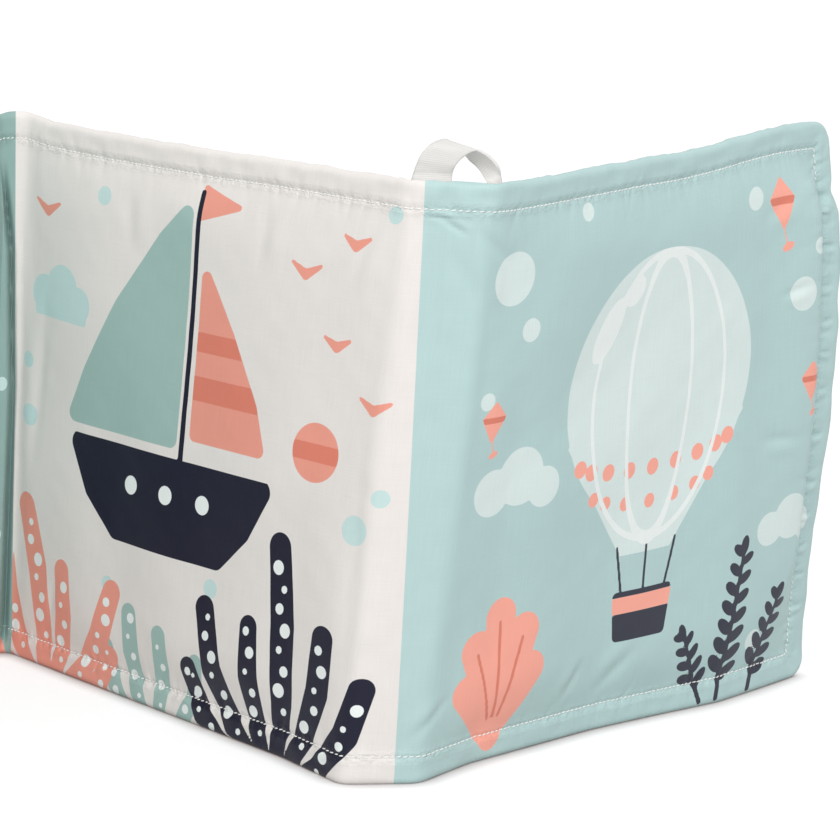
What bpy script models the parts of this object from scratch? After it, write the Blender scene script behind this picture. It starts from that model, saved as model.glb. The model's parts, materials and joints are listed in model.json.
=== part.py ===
"""Soft crib book: four padded cloth pages in a zigzag, three cloth folds, two webbing loops.

Metres, +Z up. The book stands on its lower edge, with the page faces that show in front
towards -Y. Each page and each fold is modelled flat in its own frame, whose Z axis is the
hinge line that carries it, and is then turned into the zigzag by its parent empty.
"""

import math

import bmesh
import bpy
from mathutils import Vector

# Outline of the book
PAGE_HEIGHT = 0.200
MIDDLE_PAGE_WIDTH = 0.1815
END_PAGE_WIDTH = 0.187
OUTER_FOLD_WIDTH = 0.024
MIDDLE_FOLD_WIDTH = 0.013
CORNER_RADIUS = 0.012
FOOT_FLAT = 0.0005

# Cloth, seam and padding
CLOTH = 0.0006
CLEARANCE = 0.0003
PAD_HALF = 0.0045
RIM_HALF = 0.0030
SEAM_HALF = 0.0014
SEAM_INSET = 0.0093
PAD_RISE = 0.030
FOLD_RISE = 0.022
RIM_PINCH = 0.005
WADDING_EDGE_HALF = 0.0004

# How far the book is folded where it stands
MIDDLE_FOLD_TURN = math.radians(52.0)
OUTER_FOLD_TURN = math.radians(45.0)

# Webbing loops
WEBBING_WIDTH = 0.0125
WEBBING_THICKNESS = 0.0010
LOOP_SEAT = 0.0006
LOOP_MOUTH_HALF = 0.00525
LOOP_MOUTH_SHIFT = 0.00395
LOOP_LEG = 0.0025
LOOP_RISE = 0.0055
LOOP_LEAN = 0.0030
LOOP_GATHER = 0.0060
LEFT_LEG_HEADING = math.radians(163.0)
RIGHT_LEG_HEADING = math.radians(66.0)
CROWN_LIFT = math.radians(17.0)

# Where the rows of a page lie, as shares of the rim, of the pad's rise and of a fold's rise
RIM_SHARES = (0.0, 0.12, 0.3, 0.5, 0.72, 0.9, 1.0)
RISE_SHARES = (0.2, 0.5, 1.0)
FOLD_SHARES = (0.0, 0.25, 0.55, 1.0)
WADDING_SHARE = 0.14
PLAIN_STEPS = 3
STRIP_STEPS = 4
LOOP_STEPS = 16
WEBBING_STEPS = 3

# Half the thickness of one cloth lying flat on the middle plane of the book
FLAT_HALF = CLEARANCE / 2 + CLOTH

COLOURS = {
    "off_white": (0.72, 0.71, 0.68),
    "aqua": (0.46, 0.65, 0.64),
    "teal": (0.30, 0.46, 0.42),
    "mint": (0.68, 0.79, 0.77),
    "wadding": (0.80, 0.80, 0.78),
    "webbing": (0.83, 0.81, 0.77),
}
FRONT_COLOURS = ("off_white", "teal", "off_white", "aqua")
CLOTH_ROUGHNESS = 0.55
WADDING_ROUGHNESS = 0.95


def clear_scene():
    """Remove every object that the scene starts with."""
    for item in list(bpy.data.objects):
        bpy.data.objects.remove(item, do_unlink=True)


def material(name, colour, roughness):
    """A cloth-like material of one colour."""
    made = bpy.data.materials.new(name)
    made.use_nodes = True
    shader = made.node_tree.nodes["Principled BSDF"]
    shader.inputs["Base Color"].default_value = (*COLOURS[colour], 1.0)
    shader.inputs["Roughness"].default_value = roughness
    shader.inputs["Metallic"].default_value = 0.0
    return made


def frame(name, parent, location, turn):
    """An empty whose Z axis is a hinge line, turned by an angle from its parent."""
    empty = bpy.data.objects.new(name, None)
    BOOK.objects.link(empty)
    empty.parent = parent
    empty.location = location
    empty.rotation_euler = (0.0, 0.0, turn)
    return empty


def rise(distance, run):
    """A pad's swelling: 0 at its edge, 1 after the run, level there."""
    share = min(max(distance / run, 0.0), 1.0)
    return 1.0 - (1.0 - share) ** 2


def ease(distance, run):
    """A smooth step: 0 at the start, 1 after the run, level at both."""
    share = min(max(distance / run, 0.0), 1.0)
    return share * share * (3.0 - 2.0 * share)


def rim_swell(share):
    """The puffed rim's swelling from the outline, 0, to the stitched line, 1."""
    return math.sin(math.pi * share) ** 0.7 if 0.0 < share < 1.0 else 0.0


class Strip:
    """One flat stretch of the book, from x = 0 at its hinge line to x = width.

    A fold line ends it at x = 0, and another fold line or the book's free side at its width.
    Its lower edge is cut level at z = 0, and its upper edge is the book's top.
    """

    def __init__(self, width, free_side, is_page):
        self.width = width
        self.free_side = free_side
        self.is_page = is_page
        self.low = -FOOT_FLAT
        self.middle = (self.low + PAGE_HEIGHT) / 2
        self.reach = (PAGE_HEIGHT - self.low) / 2

    def corner_drop(self, x):
        """How much lower the rounded corner is at x than the straight top edge."""
        into = x - (self.width - CORNER_RADIUS)
        if not self.free_side or into <= 0.0:
            return 0.0
        return CORNER_RADIUS - math.sqrt(max(CORNER_RADIUS**2 - into**2, 0.0))

    def edge_distance(self, x, z):
        """Distance from the sewn outline, which has rounded corners on the free side."""
        rise_left = self.reach - abs(z - self.middle)
        if not self.free_side:
            return rise_left
        side_left = self.width - x
        if rise_left < CORNER_RADIUS and side_left < CORNER_RADIUS:
            across = CORNER_RADIUS - side_left
            along = CORNER_RADIUS - rise_left
            return CORNER_RADIUS - math.hypot(across, along)
        return min(rise_left, side_left)

    def fold_distance(self, x):
        """Distance from the nearest fold line."""
        return x if self.free_side else min(x, self.width - x)

    def outer(self, x, z):
        """Half the thickness of the book at a point."""
        edge = self.edge_distance(x, z)
        fold = self.fold_distance(x)
        if edge < SEAM_INSET:
            share = max(edge, 0.0) / SEAM_INSET
            base = FLAT_HALF + (SEAM_HALF - FLAT_HALF) * share
            full = base + (RIM_HALF - base) * rim_swell(share)
            return FLAT_HALF + (full - FLAT_HALF) * min(fold / RIM_PINCH, 1.0)
        if not self.is_page:
            return FLAT_HALF
        full = SEAM_HALF + (PAD_HALF - SEAM_HALF) * rise(edge - SEAM_INSET, PAD_RISE)
        return FLAT_HALF + (full - FLAT_HALF) * rise(fold, FOLD_RISE)

    def inner(self, x, z):
        """Distance of the cloth's inside from the middle plane.

        In the rim the turned-in seam fills the space, so the inside is the middle plane.
        """
        if self.edge_distance(x, z) <= SEAM_INSET:
            return CLEARANCE / 2
        return max(self.outer(x, z) - CLOTH, CLEARANCE / 2)

    def columns(self):
        """The x of each column of points, closer together near an edge."""
        if not self.is_page:
            return [self.width * step / STRIP_STEPS for step in range(STRIP_STEPS + 1)]
        near = [share * FOLD_RISE for share in FOLD_SHARES]
        if self.free_side:
            far = [self.width - d for d in sewn_distances()]
        else:
            far = [self.width - d for d in near]
        return near + between(near[-1], far[-1]) + far[::-1]

    def rows(self):
        """The z of each row of points, before the corners are rounded."""
        near = [self.low + d for d in sewn_distances()]
        far = [PAGE_HEIGHT - d for d in sewn_distances()]
        return near + between(near[-1], far[-1]) + far[::-1]


def sewn_distances():
    """Distances of the rows from a sewn edge: the rim, the stitched line, the pad's rise."""
    rim = [share * SEAM_INSET for share in RIM_SHARES]
    return rim + [SEAM_INSET + share * PAD_RISE for share in RISE_SHARES]


def between(first, last):
    """Even places strictly between two others."""
    return [first + (last - first) * step / (PLAIN_STEPS + 1) for step in range(1, PLAIN_STEPS + 1)]


def grid(mesh, columns, rows, place):
    """Fill mesh with a grid of triangles whose points are place(x, z)."""
    made = bmesh.ops.create_grid(
        mesh, x_segments=len(columns) - 1, y_segments=len(rows) - 1, size=1.0
    )
    for vert in made["verts"]:
        column = round((vert.co.x + 1.0) / 2 * (len(columns) - 1))
        row = round((vert.co.y + 1.0) / 2 * (len(rows) - 1))
        vert.co = place(columns[column], rows[row])
    bmesh.ops.triangulate(mesh, faces=mesh.faces[:], quad_method="FIXED")
    return made["verts"]


def finish(mesh, name, parent, colour, roughness):
    """Turn a mesh into a named object under its parent, with its own material."""
    bmesh.ops.recalc_face_normals(mesh, faces=mesh.faces[:])
    data = bpy.data.meshes.new(name)
    mesh.to_mesh(data)
    mesh.free()
    data.shade_smooth()
    data.materials.append(material(name, colour, roughness))
    made = bpy.data.objects.new(name, data)
    BOOK.objects.link(made)
    made.parent = parent
    return made


def skin(columns, rows, place, outside, inside):
    """A closed body between two surfaces over the same grid.

    The grid is extruded, and then place(x, z, depth) puts one side of it at the depth that
    outside(x, z) gives and the other at that of inside(x, z).
    """
    mesh = bmesh.new()
    grid(mesh, columns, rows, lambda x, z: Vector((x, 0.0, z)))
    made = bmesh.ops.extrude_face_region(mesh, geom=mesh.faces[:], use_keep_orig=True)
    raised = {item for item in made["geom"] if isinstance(item, bmesh.types.BMVert)}
    for vert in mesh.verts:
        x, z = vert.co.x, vert.co.z
        depth = outside(x, z) if vert in raised else inside(x, z)
        vert.co = place(x, z, depth)
    return mesh


def cut_level(mesh):
    """Cut a body off at z = 0 and close it there, where the book stands."""
    everything = mesh.verts[:] + mesh.edges[:] + mesh.faces[:]
    cut = bmesh.ops.bisect_plane(
        mesh, geom=everything, plane_co=(0.0, 0.0, 0.0), plane_no=(0.0, 0.0, -1.0), clear_outer=True
    )
    rim = [item for item in cut["geom_cut"] if isinstance(item, bmesh.types.BMEdge)]
    bmesh.ops.edgeloop_fill(mesh, edges=rim)


def cloth(name, parent, strip, side, face, plane, colour):
    """One closed cloth, on the front (face -1) or the back (face 1) of the book.

    side is 1 where the strip runs to the right from its hinge line and -1 to the left, and
    plane is the y of the book's middle plane.
    """
    columns = strip.columns()
    columns[0] += CLEARANCE / 2
    if not strip.free_side:
        columns[-1] -= CLEARANCE / 2

    def rounded(x, z):
        fit = 1.0 - strip.corner_drop(x) / strip.reach
        return strip.middle + (z - strip.middle) * fit

    def place(x, z, depth):
        return Vector((side * x, plane + face * depth, rounded(x, z)))

    def outside(x, z):
        return strip.outer(x, rounded(x, z))

    def inside(x, z):
        return strip.inner(x, rounded(x, z))

    mesh = skin(columns, strip.rows(), place, outside, inside)
    cut_level(mesh)
    return finish(mesh, name, parent, colour, CLOTH_ROUGHNESS)


def wadding(name, parent, strip, side, plane):
    """A page's wadding: a flat pillow with thin edges, inside the stitched line."""
    side_inset = WADDING_SHARE * FOLD_RISE
    edge = SEAM_INSET + WADDING_SHARE * PAD_RISE
    columns = strip.columns()[1 : -len(RIM_SHARES) if strip.free_side else -1]
    right = strip.width - (edge if strip.free_side else side_inset)
    columns = [side_inset, *columns, right]
    rows = [strip.low + edge, *strip.rows()[len(RIM_SHARES) : -len(RIM_SHARES)], PAGE_HEIGHT - edge]

    def front(x, z):
        on_border = x < columns[1] - CLEARANCE or x > columns[-2] + CLEARANCE
        on_border = on_border or z < rows[1] - CLEARANCE or z > rows[-2] + CLEARANCE
        return WADDING_EDGE_HALF if on_border else strip.outer(x, z) - CLOTH - CLEARANCE

    def place(x, z, depth):
        return Vector((side * x, plane + depth, z))

    mesh = skin(columns, rows, place, lambda x, z: -front(x, z), front)
    return finish(mesh, name, parent, "wadding", WADDING_ROUGHNESS)


def page(number, parent, width, free_side, side, plane):
    """A page: two cloth covers and the wadding between them."""
    strip = Strip(width, free_side, True)
    cloth(f"front_cover_{number}", parent, strip, side, -1, plane, FRONT_COLOURS[number - 1])
    cloth(f"back_cover_{number}", parent, strip, side, 1, plane, "mint")
    wadding(f"wadding_{number}", parent, strip, side, plane)


def fold(number, parent, width, side, plane, colour):
    """A fold: two unpadded cloth strips between two hinge lines."""
    strip = Strip(width, False, False)
    cloth(f"fold_{number}_front_cloth", parent, strip, side, -1, plane, colour)
    cloth(f"fold_{number}_back_cloth", parent, strip, side, 1, plane, "mint")


def webbing_loop(number, parent, side, plane):
    """A ribbed webbing loop, sewn by its two legs into the top seam of a fold.

    The ribbon's near edge runs up one leg, over a half round and down the other. Its width
    points away from that edge, in a heading that swings from one leg to the other and lifts
    at the crown, so the loop opens out to the back. Both legs are gathered into the seam.
    """
    base = frame(f"loop_{number}_hinge", parent, (0.0, plane, PAGE_HEIGHT + LOOP_SEAT), 0.0)
    base.location.x = side * OUTER_FOLD_WIDTH / 2
    mesh = bmesh.new()
    stations = [-1.0, *(step / LOOP_STEPS for step in range(LOOP_STEPS + 1)), 2.0]
    shares = [step / WEBBING_STEPS for step in range(WEBBING_STEPS + 1)]

    def place(station, share):
        along = min(max(station, 0.0), 1.0)
        round_angle = math.pi * along
        on_leg = station != along
        height = 0.0 if on_leg else LOOP_LEG + LOOP_RISE * math.sin(round_angle)
        near = Vector((-math.cos(round_angle) * LOOP_MOUTH_HALF, -LOOP_LEAN, height))
        heading = LEFT_LEG_HEADING + (RIGHT_LEG_HEADING - LEFT_LEG_HEADING) * along
        lift = 0.0 if on_leg else CROWN_LIFT * math.sin(round_angle)
        level = math.cos(lift)
        outward = Vector((math.cos(heading) * level, math.sin(heading) * level, math.sin(lift)))
        point = near + outward * (share * WEBBING_WIDTH)
        point.y *= ease(point.z, LOOP_GATHER)
        point.x = side * (point.x + LOOP_MOUTH_SHIFT)
        return point

    grid(mesh, stations, shares, place)
    made = finish(mesh, f"webbing_loop_{number}", base, "webbing", CLOTH_ROUGHNESS)
    wall = made.modifiers.new("webbing_thickness", "SOLIDIFY")
    wall.thickness = WEBBING_THICKNESS
    wall.offset = 0.0
    wall.use_even_offset = False
    return made


def half_book(side, middle, end_page, middle_page, outer_fold, loop):
    """One half of the book, to the right (side 1) or the left (side -1) of the middle fold."""
    at_middle = (side * MIDDLE_FOLD_WIDTH / 2, -FLAT_HALF, 0.0)
    inner = frame(f"page_{middle_page}_hinge", middle, at_middle, -side * MIDDLE_FOLD_TURN)
    page(middle_page, inner, MIDDLE_PAGE_WIDTH, False, side, FLAT_HALF)

    at_outer = (side * MIDDLE_PAGE_WIDTH, 2 * FLAT_HALF, 0.0)
    bend = frame(f"fold_{outer_fold}_hinge", inner, at_outer, side * OUTER_FOLD_TURN)
    colour = FRONT_COLOURS[end_page - 1]
    fold(outer_fold, bend, OUTER_FOLD_WIDTH, side, -FLAT_HALF, colour)
    webbing_loop(loop, bend, side, -FLAT_HALF)

    at_end = (side * OUTER_FOLD_WIDTH, 0.0, 0.0)
    outer = frame(f"page_{end_page}_hinge", bend, at_end, side * OUTER_FOLD_TURN)
    page(end_page, outer, END_PAGE_WIDTH, True, side, -FLAT_HALF)


def stand_on_origin(root):
    """Move the root so that the middle of the book's footprint box is the origin."""
    bpy.context.view_layer.update()
    depths = []
    for item in BOOK.objects:
        if item.type == "MESH":
            depths += [(item.matrix_world @ vert.co).y for vert in item.data.vertices]
    root.location.y -= (min(depths) + max(depths)) / 2


def build_book():
    """The whole book, hung on the frame of its middle fold."""
    middle = frame("fold_2_frame", None, (0.0, 0.0, 0.0), 0.0)
    centre = frame("fold_2_left_line", middle, (-MIDDLE_FOLD_WIDTH / 2, 0.0, 0.0), 0.0)
    fold(2, centre, MIDDLE_FOLD_WIDTH, 1, 0.0, "teal")
    half_book(1, middle, end_page=4, middle_page=3, outer_fold=3, loop=2)
    half_book(-1, middle, end_page=1, middle_page=2, outer_fold=1, loop=1)
    stand_on_origin(middle)
    bpy.context.view_layer.update()


clear_scene()
BOOK = bpy.data.collections.new("soft_crib_book")
bpy.context.scene.collection.children.link(BOOK)
build_book()
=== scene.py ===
"""Soft crib book, dressed: printed padded cloth pages, cloth folds, sewing thread, webbing loops.

The book is one long strip of cloth, 0.8 m by 0.2 m, set up in a zigzag. Every cloth surface is
worked out from two parameters: s, the distance along the strip from the middle fold, negative
to the left, and z, the height on the strip. A point of the strip's middle surface lies on the
straight line between its lower and its upper edge, whose plans follow the folds of the solids,
and the cloth stands off it by half the book's thickness there.
"""

import json
import math

import bpy
import numpy as np
from mathutils import Matrix, Vector


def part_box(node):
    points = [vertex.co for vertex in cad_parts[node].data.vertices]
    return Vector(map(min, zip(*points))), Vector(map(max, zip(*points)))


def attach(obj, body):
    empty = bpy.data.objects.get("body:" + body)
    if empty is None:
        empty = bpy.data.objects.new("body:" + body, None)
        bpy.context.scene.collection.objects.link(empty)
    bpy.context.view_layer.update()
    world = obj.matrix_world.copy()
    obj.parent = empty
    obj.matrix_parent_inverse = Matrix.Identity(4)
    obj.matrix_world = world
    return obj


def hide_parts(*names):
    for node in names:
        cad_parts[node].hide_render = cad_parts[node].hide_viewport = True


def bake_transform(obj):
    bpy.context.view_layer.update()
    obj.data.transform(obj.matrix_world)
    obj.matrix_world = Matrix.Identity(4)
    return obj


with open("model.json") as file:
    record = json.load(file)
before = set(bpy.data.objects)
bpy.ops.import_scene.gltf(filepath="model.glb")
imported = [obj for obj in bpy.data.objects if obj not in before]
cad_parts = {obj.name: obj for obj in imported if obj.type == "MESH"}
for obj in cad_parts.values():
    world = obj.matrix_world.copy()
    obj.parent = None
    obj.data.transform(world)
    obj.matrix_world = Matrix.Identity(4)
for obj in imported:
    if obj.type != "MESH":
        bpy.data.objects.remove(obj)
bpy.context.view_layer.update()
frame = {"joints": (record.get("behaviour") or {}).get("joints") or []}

bl_info = {
    "name": "Soft Crib Book",
    "version": (1, 0, 0),
    "blender": (4, 5, 0),
    "location": "View3D > Sidebar > Crib Book",
    "description": "Dresses the solids of a fold-out cloth crib book with cloth, print and thread",
    "category": "Add Mesh",
}

MM = 0.001
FRONT, BACK = 1, -1

# Places of the folds, from the solids
JOINTS = {joint["name"]: joint for joint in frame["joints"]}
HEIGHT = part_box("front_cover_3")[1].z
CLOTH = 0.6 * MM
FLAT_HALF = 0.75 * MM
MIDDLE_FOLD_HALF = JOINTS["middle_fold_right"]["pos_m"][0]
MIDDLE_PAGE = 181.5 * MM
OUTER_FOLD = 24.0 * MM
END_PAGE = 187.0 * MM
PAGE_START = MIDDLE_FOLD_HALF
PAGE_END = PAGE_START + MIDDLE_PAGE
END_PAGE_START = PAGE_END + OUTER_FOLD
FOLD_CENTRE = (PAGE_END + END_PAGE_START) / 2
LENGTH = END_PAGE_START + END_PAGE

# How far the visible book leans away from the upright solids, in plan: distance along the
# strip, then x and y, at its top edge and at its bottom edge
LEAN_TOP = np.array((
    (0.0, 0.0, 0.0), (PAGE_START, -1.5 * MM, 0.0), (PAGE_END, 5.4 * MM, 0.4 * MM),
    (END_PAGE_START, 7.6 * MM, -1.0 * MM), (LENGTH, -8.0 * MM, 2.0 * MM)))
LEAN_BOTTOM = np.array((
    (0.0, 0.0, 0.0), (PAGE_START, -1.5 * MM, 0.0), (0.160, -11.7 * MM, 0.4 * MM),
    (PAGE_END, -13.6 * MM, -5.2 * MM), (END_PAGE_START, -12.5 * MM, -2.0 * MM),
    (0.235, -12.0 * MM, 3.6 * MM), (0.290, -10.2 * MM, 3.4 * MM), (0.320, -9.2 * MM, 0.0),
    (0.352, -8.0 * MM, -4.6 * MM), (0.374, -6.7 * MM, -2.6 * MM), (LENGTH, -5.5 * MM, 0.0)))
# How far the valley's foot stands to the left of its top
VALLEY_SLANT = 7.0 * MM
# How much lower than the solids the top edge sags: distance along the strip, drop
SAG = np.array((
    (0.0, 1.8 * MM), (0.006, 2.0 * MM), (0.016, 3.6 * MM), (0.046, 3.8 * MM), (0.101, 2.8 * MM),
    (0.132, 1.5 * MM), (PAGE_END, 0.3 * MM), (END_PAGE_START, 0.6 * MM), (0.2224, 1.2 * MM),
    (0.250, 1.0 * MM), (0.287, 0.4 * MM), (0.312, 0.5 * MM), (0.330, -0.4 * MM),
    (0.3564, -2.5 * MM), (0.3700, -3.1 * MM), (0.3835, -2.9 * MM), (LENGTH, -2.2 * MM)))

# How the free sides bulge at mid height, along the strip and to the front, and the share of
# the bulge at heights on the page
BULGE_ALONG = 4.6 * MM
BULGE_FRONT = 4.2 * MM
BULGE_REACH = 70.0 * MM
BULGE_SHARES = np.array((
    (0.0, -0.25), (0.05, -0.40), (0.10, -0.36), (0.20, -0.15), (0.27, 0.0), (0.34, 0.30),
    (0.415, 0.58), (0.50, 0.85), (0.635, 1.0), (0.775, 0.95), (0.84, 0.78), (0.875, 0.40),
    (0.91, 0.26), (0.98, 0.04), (1.0, 0.0)))

# The grid of the strip's smoothed plan and of its relief
PLAN_STEP = 0.25 * MM
PLAN_REACH = 0.44
FOLD_BLUNTING = 4.6 * MM
SAG_BLUNTING = 8.0 * MM
RELIEF_STEP = 0.5 * MM

# Distances of the rows and columns from a sewn edge
RIM_STEPS = MM * np.array((
    0.0, 0.12, 0.4, 0.85, 1.5, 2.3, 3.2, 4.2, 5.2, 6.2, 7.1, 7.9, 8.5, 8.9, 9.15, 9.35, 9.6, 10.0,
    10.6))

# Metres of the strip across the width of the cloth's map
STRIP_MAP_WIDTH = 0.8

INKS = ("pale", "teal", "coral", "rust", "navy", "white")


def linear(red, green, blue):
    """A colour as it is seen, in steps of 255, as the light values that a shader takes."""
    seen = np.array((red, green, blue)) / 255.0
    low = seen / 12.92
    high = ((seen + 0.055) / 1.055) ** 2.4
    return tuple(float(v) for v in np.where(seen <= 0.04045, low, high))


def length_property(name, description, default, low, high):
    """A size setting in metres, with its limits."""
    return bpy.props.FloatProperty(
        name=name, description=description, default=default, min=low, max=high, unit="LENGTH",
        precision=5)


class BookSizes(bpy.types.PropertyGroup):
    """Sizes of the cloth, the seam and the thread."""

    seam_inset: length_property(
        "Seam inset", "Stitched line to the book's edge", 9.3 * MM, 4 * MM, 20 * MM)
    rim_half: length_property(
        "Rim", "Half the thickness of the puffed rim", 1.85 * MM, 1 * MM, 6 * MM)
    seam_half: length_property(
        "Seam", "Half the thickness at the stitched line", 1.0 * MM, 0.8 * MM, 3 * MM)
    pad_half: length_property(
        "Padding", "Half the thickness in the middle of a page", 4.6 * MM, 2 * MM, 10 * MM)
    corner_radius: length_property(
        "Corner radius", "Radius of the free sides' corners", 7.5 * MM, 3 * MM, 20 * MM)
    crease_depth: length_property(
        "Crease depth", "Depth of the puckers along the stitched line", 0.60 * MM, 0.0, 2 * MM)
    wave_height: length_property(
        "Wave height", "Height of the soft waves of the padding", 0.42 * MM, 0.0, 3 * MM)
    stitch_pitch: length_property(
        "Stitch pitch", "Distance from one stitch to the next", 1.95 * MM, 1 * MM, 6 * MM)
    stitch_length: length_property(
        "Stitch length", "Visible length of one stitch", 1.5 * MM, 0.5 * MM, 5 * MM)
    thread_radius: length_property(
        "Thread radius", "Half the thickness of the sewing thread", 0.25 * MM, 0.1 * MM, 1 * MM)
    lean: bpy.props.FloatProperty(
        name="Lean", description="How much of the photographed lean the book has",
        default=1.0, min=0.0, max=1.2, subtype="FACTOR")


def colour_property(name, description, seen):
    """A colour setting whose default is given as it is seen, in steps of 255."""
    return bpy.props.FloatVectorProperty(
        name=name, description=description, subtype="COLOR", size=3, min=0.0, max=1.0,
        default=linear(*seen))


class BookColours(bpy.types.PropertyGroup):
    """Colours of the cloth, the inks, the thread and the webbing."""

    off_white: colour_property("Off-white cloth", "Ground of pages 1 and 3", (230, 225, 221))
    aqua: colour_property("Aqua cloth", "Ground of page 4", (180, 207, 206))
    teal: colour_property("Teal cloth", "Ground of page 2", (143, 172, 167))
    backing: colour_property("Backing cloth", "Ground of all the backs", (222, 232, 229))
    pale: colour_property("Pale ink", "Pale aqua shapes", (196, 221, 219))
    pale_on_aqua: colour_property("Pale ink on aqua", "Pale mint shapes", (217, 231, 229))
    teal_ink: colour_property("Teal ink", "Grey teal shapes", (159, 188, 182))
    coral: colour_property("Coral ink", "Coral shapes", (235, 156, 138))
    coral_on_aqua: colour_property("Coral ink on aqua", "Coral shapes of page 4", (250, 171, 153))
    rust: colour_property("Rust ink", "Darker stripes on the coral shapes", (222, 128, 108))
    navy: colour_property("Navy ink", "Navy shapes", (3, 4, 35))
    navy_on_aqua: colour_property("Navy ink on aqua", "Navy shapes of page 4", (46, 48, 62))
    white_ink: colour_property("White ink", "Dots and highlights", (236, 242, 240))
    thread: colour_property("Thread", "Sewing thread", (240, 240, 238))
    thread_shade: colour_property("Thread shade", "Between its twists", (216, 218, 216))
    webbing: colour_property("Webbing", "Ribbed webbing of the loops", (229, 226, 222))
    # Painted shade between the webbing's ribs, and the dark end of its random grain tone
    webbing_rib_shade_and_grain: colour_property("Webbing shade", "Between its ribs", (186, 184, 180))
    wadding: colour_property("Wadding", "Fibre inside the pages", (235, 235, 230))
    wadding_shade: colour_property("Wadding shade", "Between its fibres", (212, 212, 208))


class StageLook(bpy.types.PropertyGroup):
    """Floor and light."""

    floor: colour_property("Floor", "Colour of the floor as the camera sees it", (172, 172, 172))
    floor_bounce: colour_property(
        "Floor bounce", "Colour of the floor in the light it throws", (165, 165, 165))
    # Painted contact shadow: the colour the floor's glow takes close under the book
    contact: colour_property(
        "Contact shadow", "Colour of the floor close under the book", (88, 62, 54))
    contact_reach: length_property(
        "Contact reach", "How far the contact shadow reaches", 7 * MM, 0.0, 100 * MM)
    glow: bpy.props.FloatProperty(
        name="Glow", description="How much the floor glows for the camera",
        default=0.66, min=0.0, max=1.0)
    lamp_power: bpy.props.FloatProperty(
        name="Lamp", description="Power of the large lamp in front and above",
        default=24.0, min=0.0, max=400.0, unit="POWER")
    sky: bpy.props.FloatProperty(
        name="Surrounding light", description="Strength of the even light from all round",
        default=0.85, min=0.0, max=3.0)


def sizes():
    """The sizes as they are set."""
    return bpy.context.scene.crib_book_sizes


def colours():
    """The colours as they are set."""
    return bpy.context.scene.crib_book_colours


# The strip's middle surface


def unit(vector):
    """The vector, one long."""
    return vector / np.linalg.norm(vector)


def pointing(heading):
    """A step of one in a heading in degrees."""
    angle = math.radians(heading)
    return math.cos(angle), math.sin(angle)


def turned(vector, degrees):
    """A plan vector turned to the left."""
    cos, sin = pointing(degrees)
    return np.array((cos * vector[0] - sin * vector[1], sin * vector[0] + cos * vector[1]))


def plan_knots():
    """The corners of the right half's middle line in plan, with their distances along it."""
    first = np.array(JOINTS["middle_fold_right"]["pos_m"][:2])
    inner = np.array(JOINTS["right_fold_inner"]["pos_m"][:2])
    outer = np.array(JOINTS["right_fold_outer"]["pos_m"][:2])
    turn = -JOINTS["right_fold_inner"]["range_deg"][0]
    along_fold = unit(outer - inner)
    along_page = turned(along_fold, -turn)
    along_end = turned(along_fold, turn)
    to_back = turned(along_fold, 90)
    start = first + (0.0, FLAT_HALF)
    corner = inner - FLAT_HALF * unit(to_back + turned(along_page, 90))
    far_corner = outer - FLAT_HALF * unit(to_back + turned(along_end, 90))
    end = outer - FLAT_HALF * turned(along_end, 90) + END_PAGE * along_end
    points = np.array(((0.0, start[1]), start, corner, far_corner, end))
    distances = np.array((0.0, PAGE_START, PAGE_END, END_PAGE_START, LENGTH))
    return distances, points


def smooth(values, width):
    """A moving average, taken twice."""
    count = max(1, int(round(width / PLAN_STEP))) | 1
    kernel = np.ones(count) / count
    for _ in range(2):
        before = 2 * values[0] - values[count:0:-1]
        after = 2 * values[-1] - values[-2 : -count - 2 : -1]
        padded = np.concatenate((before, values, after))
        values = np.convolve(padded, kernel, mode="same")[count:-count]
    return values


def edge_plan(top):
    """The plan of the strip's top or bottom edge, smoothed, at every PLAN_STEP.

    The right half follows the solids plus the lean. The left half is its mirror image with the
    leans of the two edges exchanged, so that the pages nest when the middle fold closes.
    """
    distances, points = plan_knots()
    along = np.arange(-PLAN_REACH, PLAN_REACH + PLAN_STEP / 2, PLAN_STEP)
    plan = np.zeros((len(along), 2))
    last = (points[-1] - points[-2]) / (distances[-1] - distances[-2])
    reach = PLAN_REACH + 10 * PLAN_STEP
    far = np.append(distances, reach)
    far_points = np.vstack((points, points[-1] + last * (reach - distances[-1])))
    for side in (1, -1):
        own = along >= 0 if side > 0 else along < 0
        lean = LEAN_TOP if top == (side > 0) else LEAN_BOTTOM
        run = np.abs(along[own])
        x, y = (
            np.interp(run, far, far_points[:, axis])
            + sizes().lean * np.interp(run, lean[:, 0], lean[:, axis + 1])
            for axis in (0, 1)
        )
        plan[own, 0] = side * x
        plan[own, 1] = y
    if not top:
        plan[:, 0] -= VALLEY_SLANT * np.clip(1 - np.abs(along) / PAGE_END, 0.0, 1.0)
    return np.stack((smooth(plan[:, 0], FOLD_BLUNTING), smooth(plan[:, 1], FOLD_BLUNTING)), 1)


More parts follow.
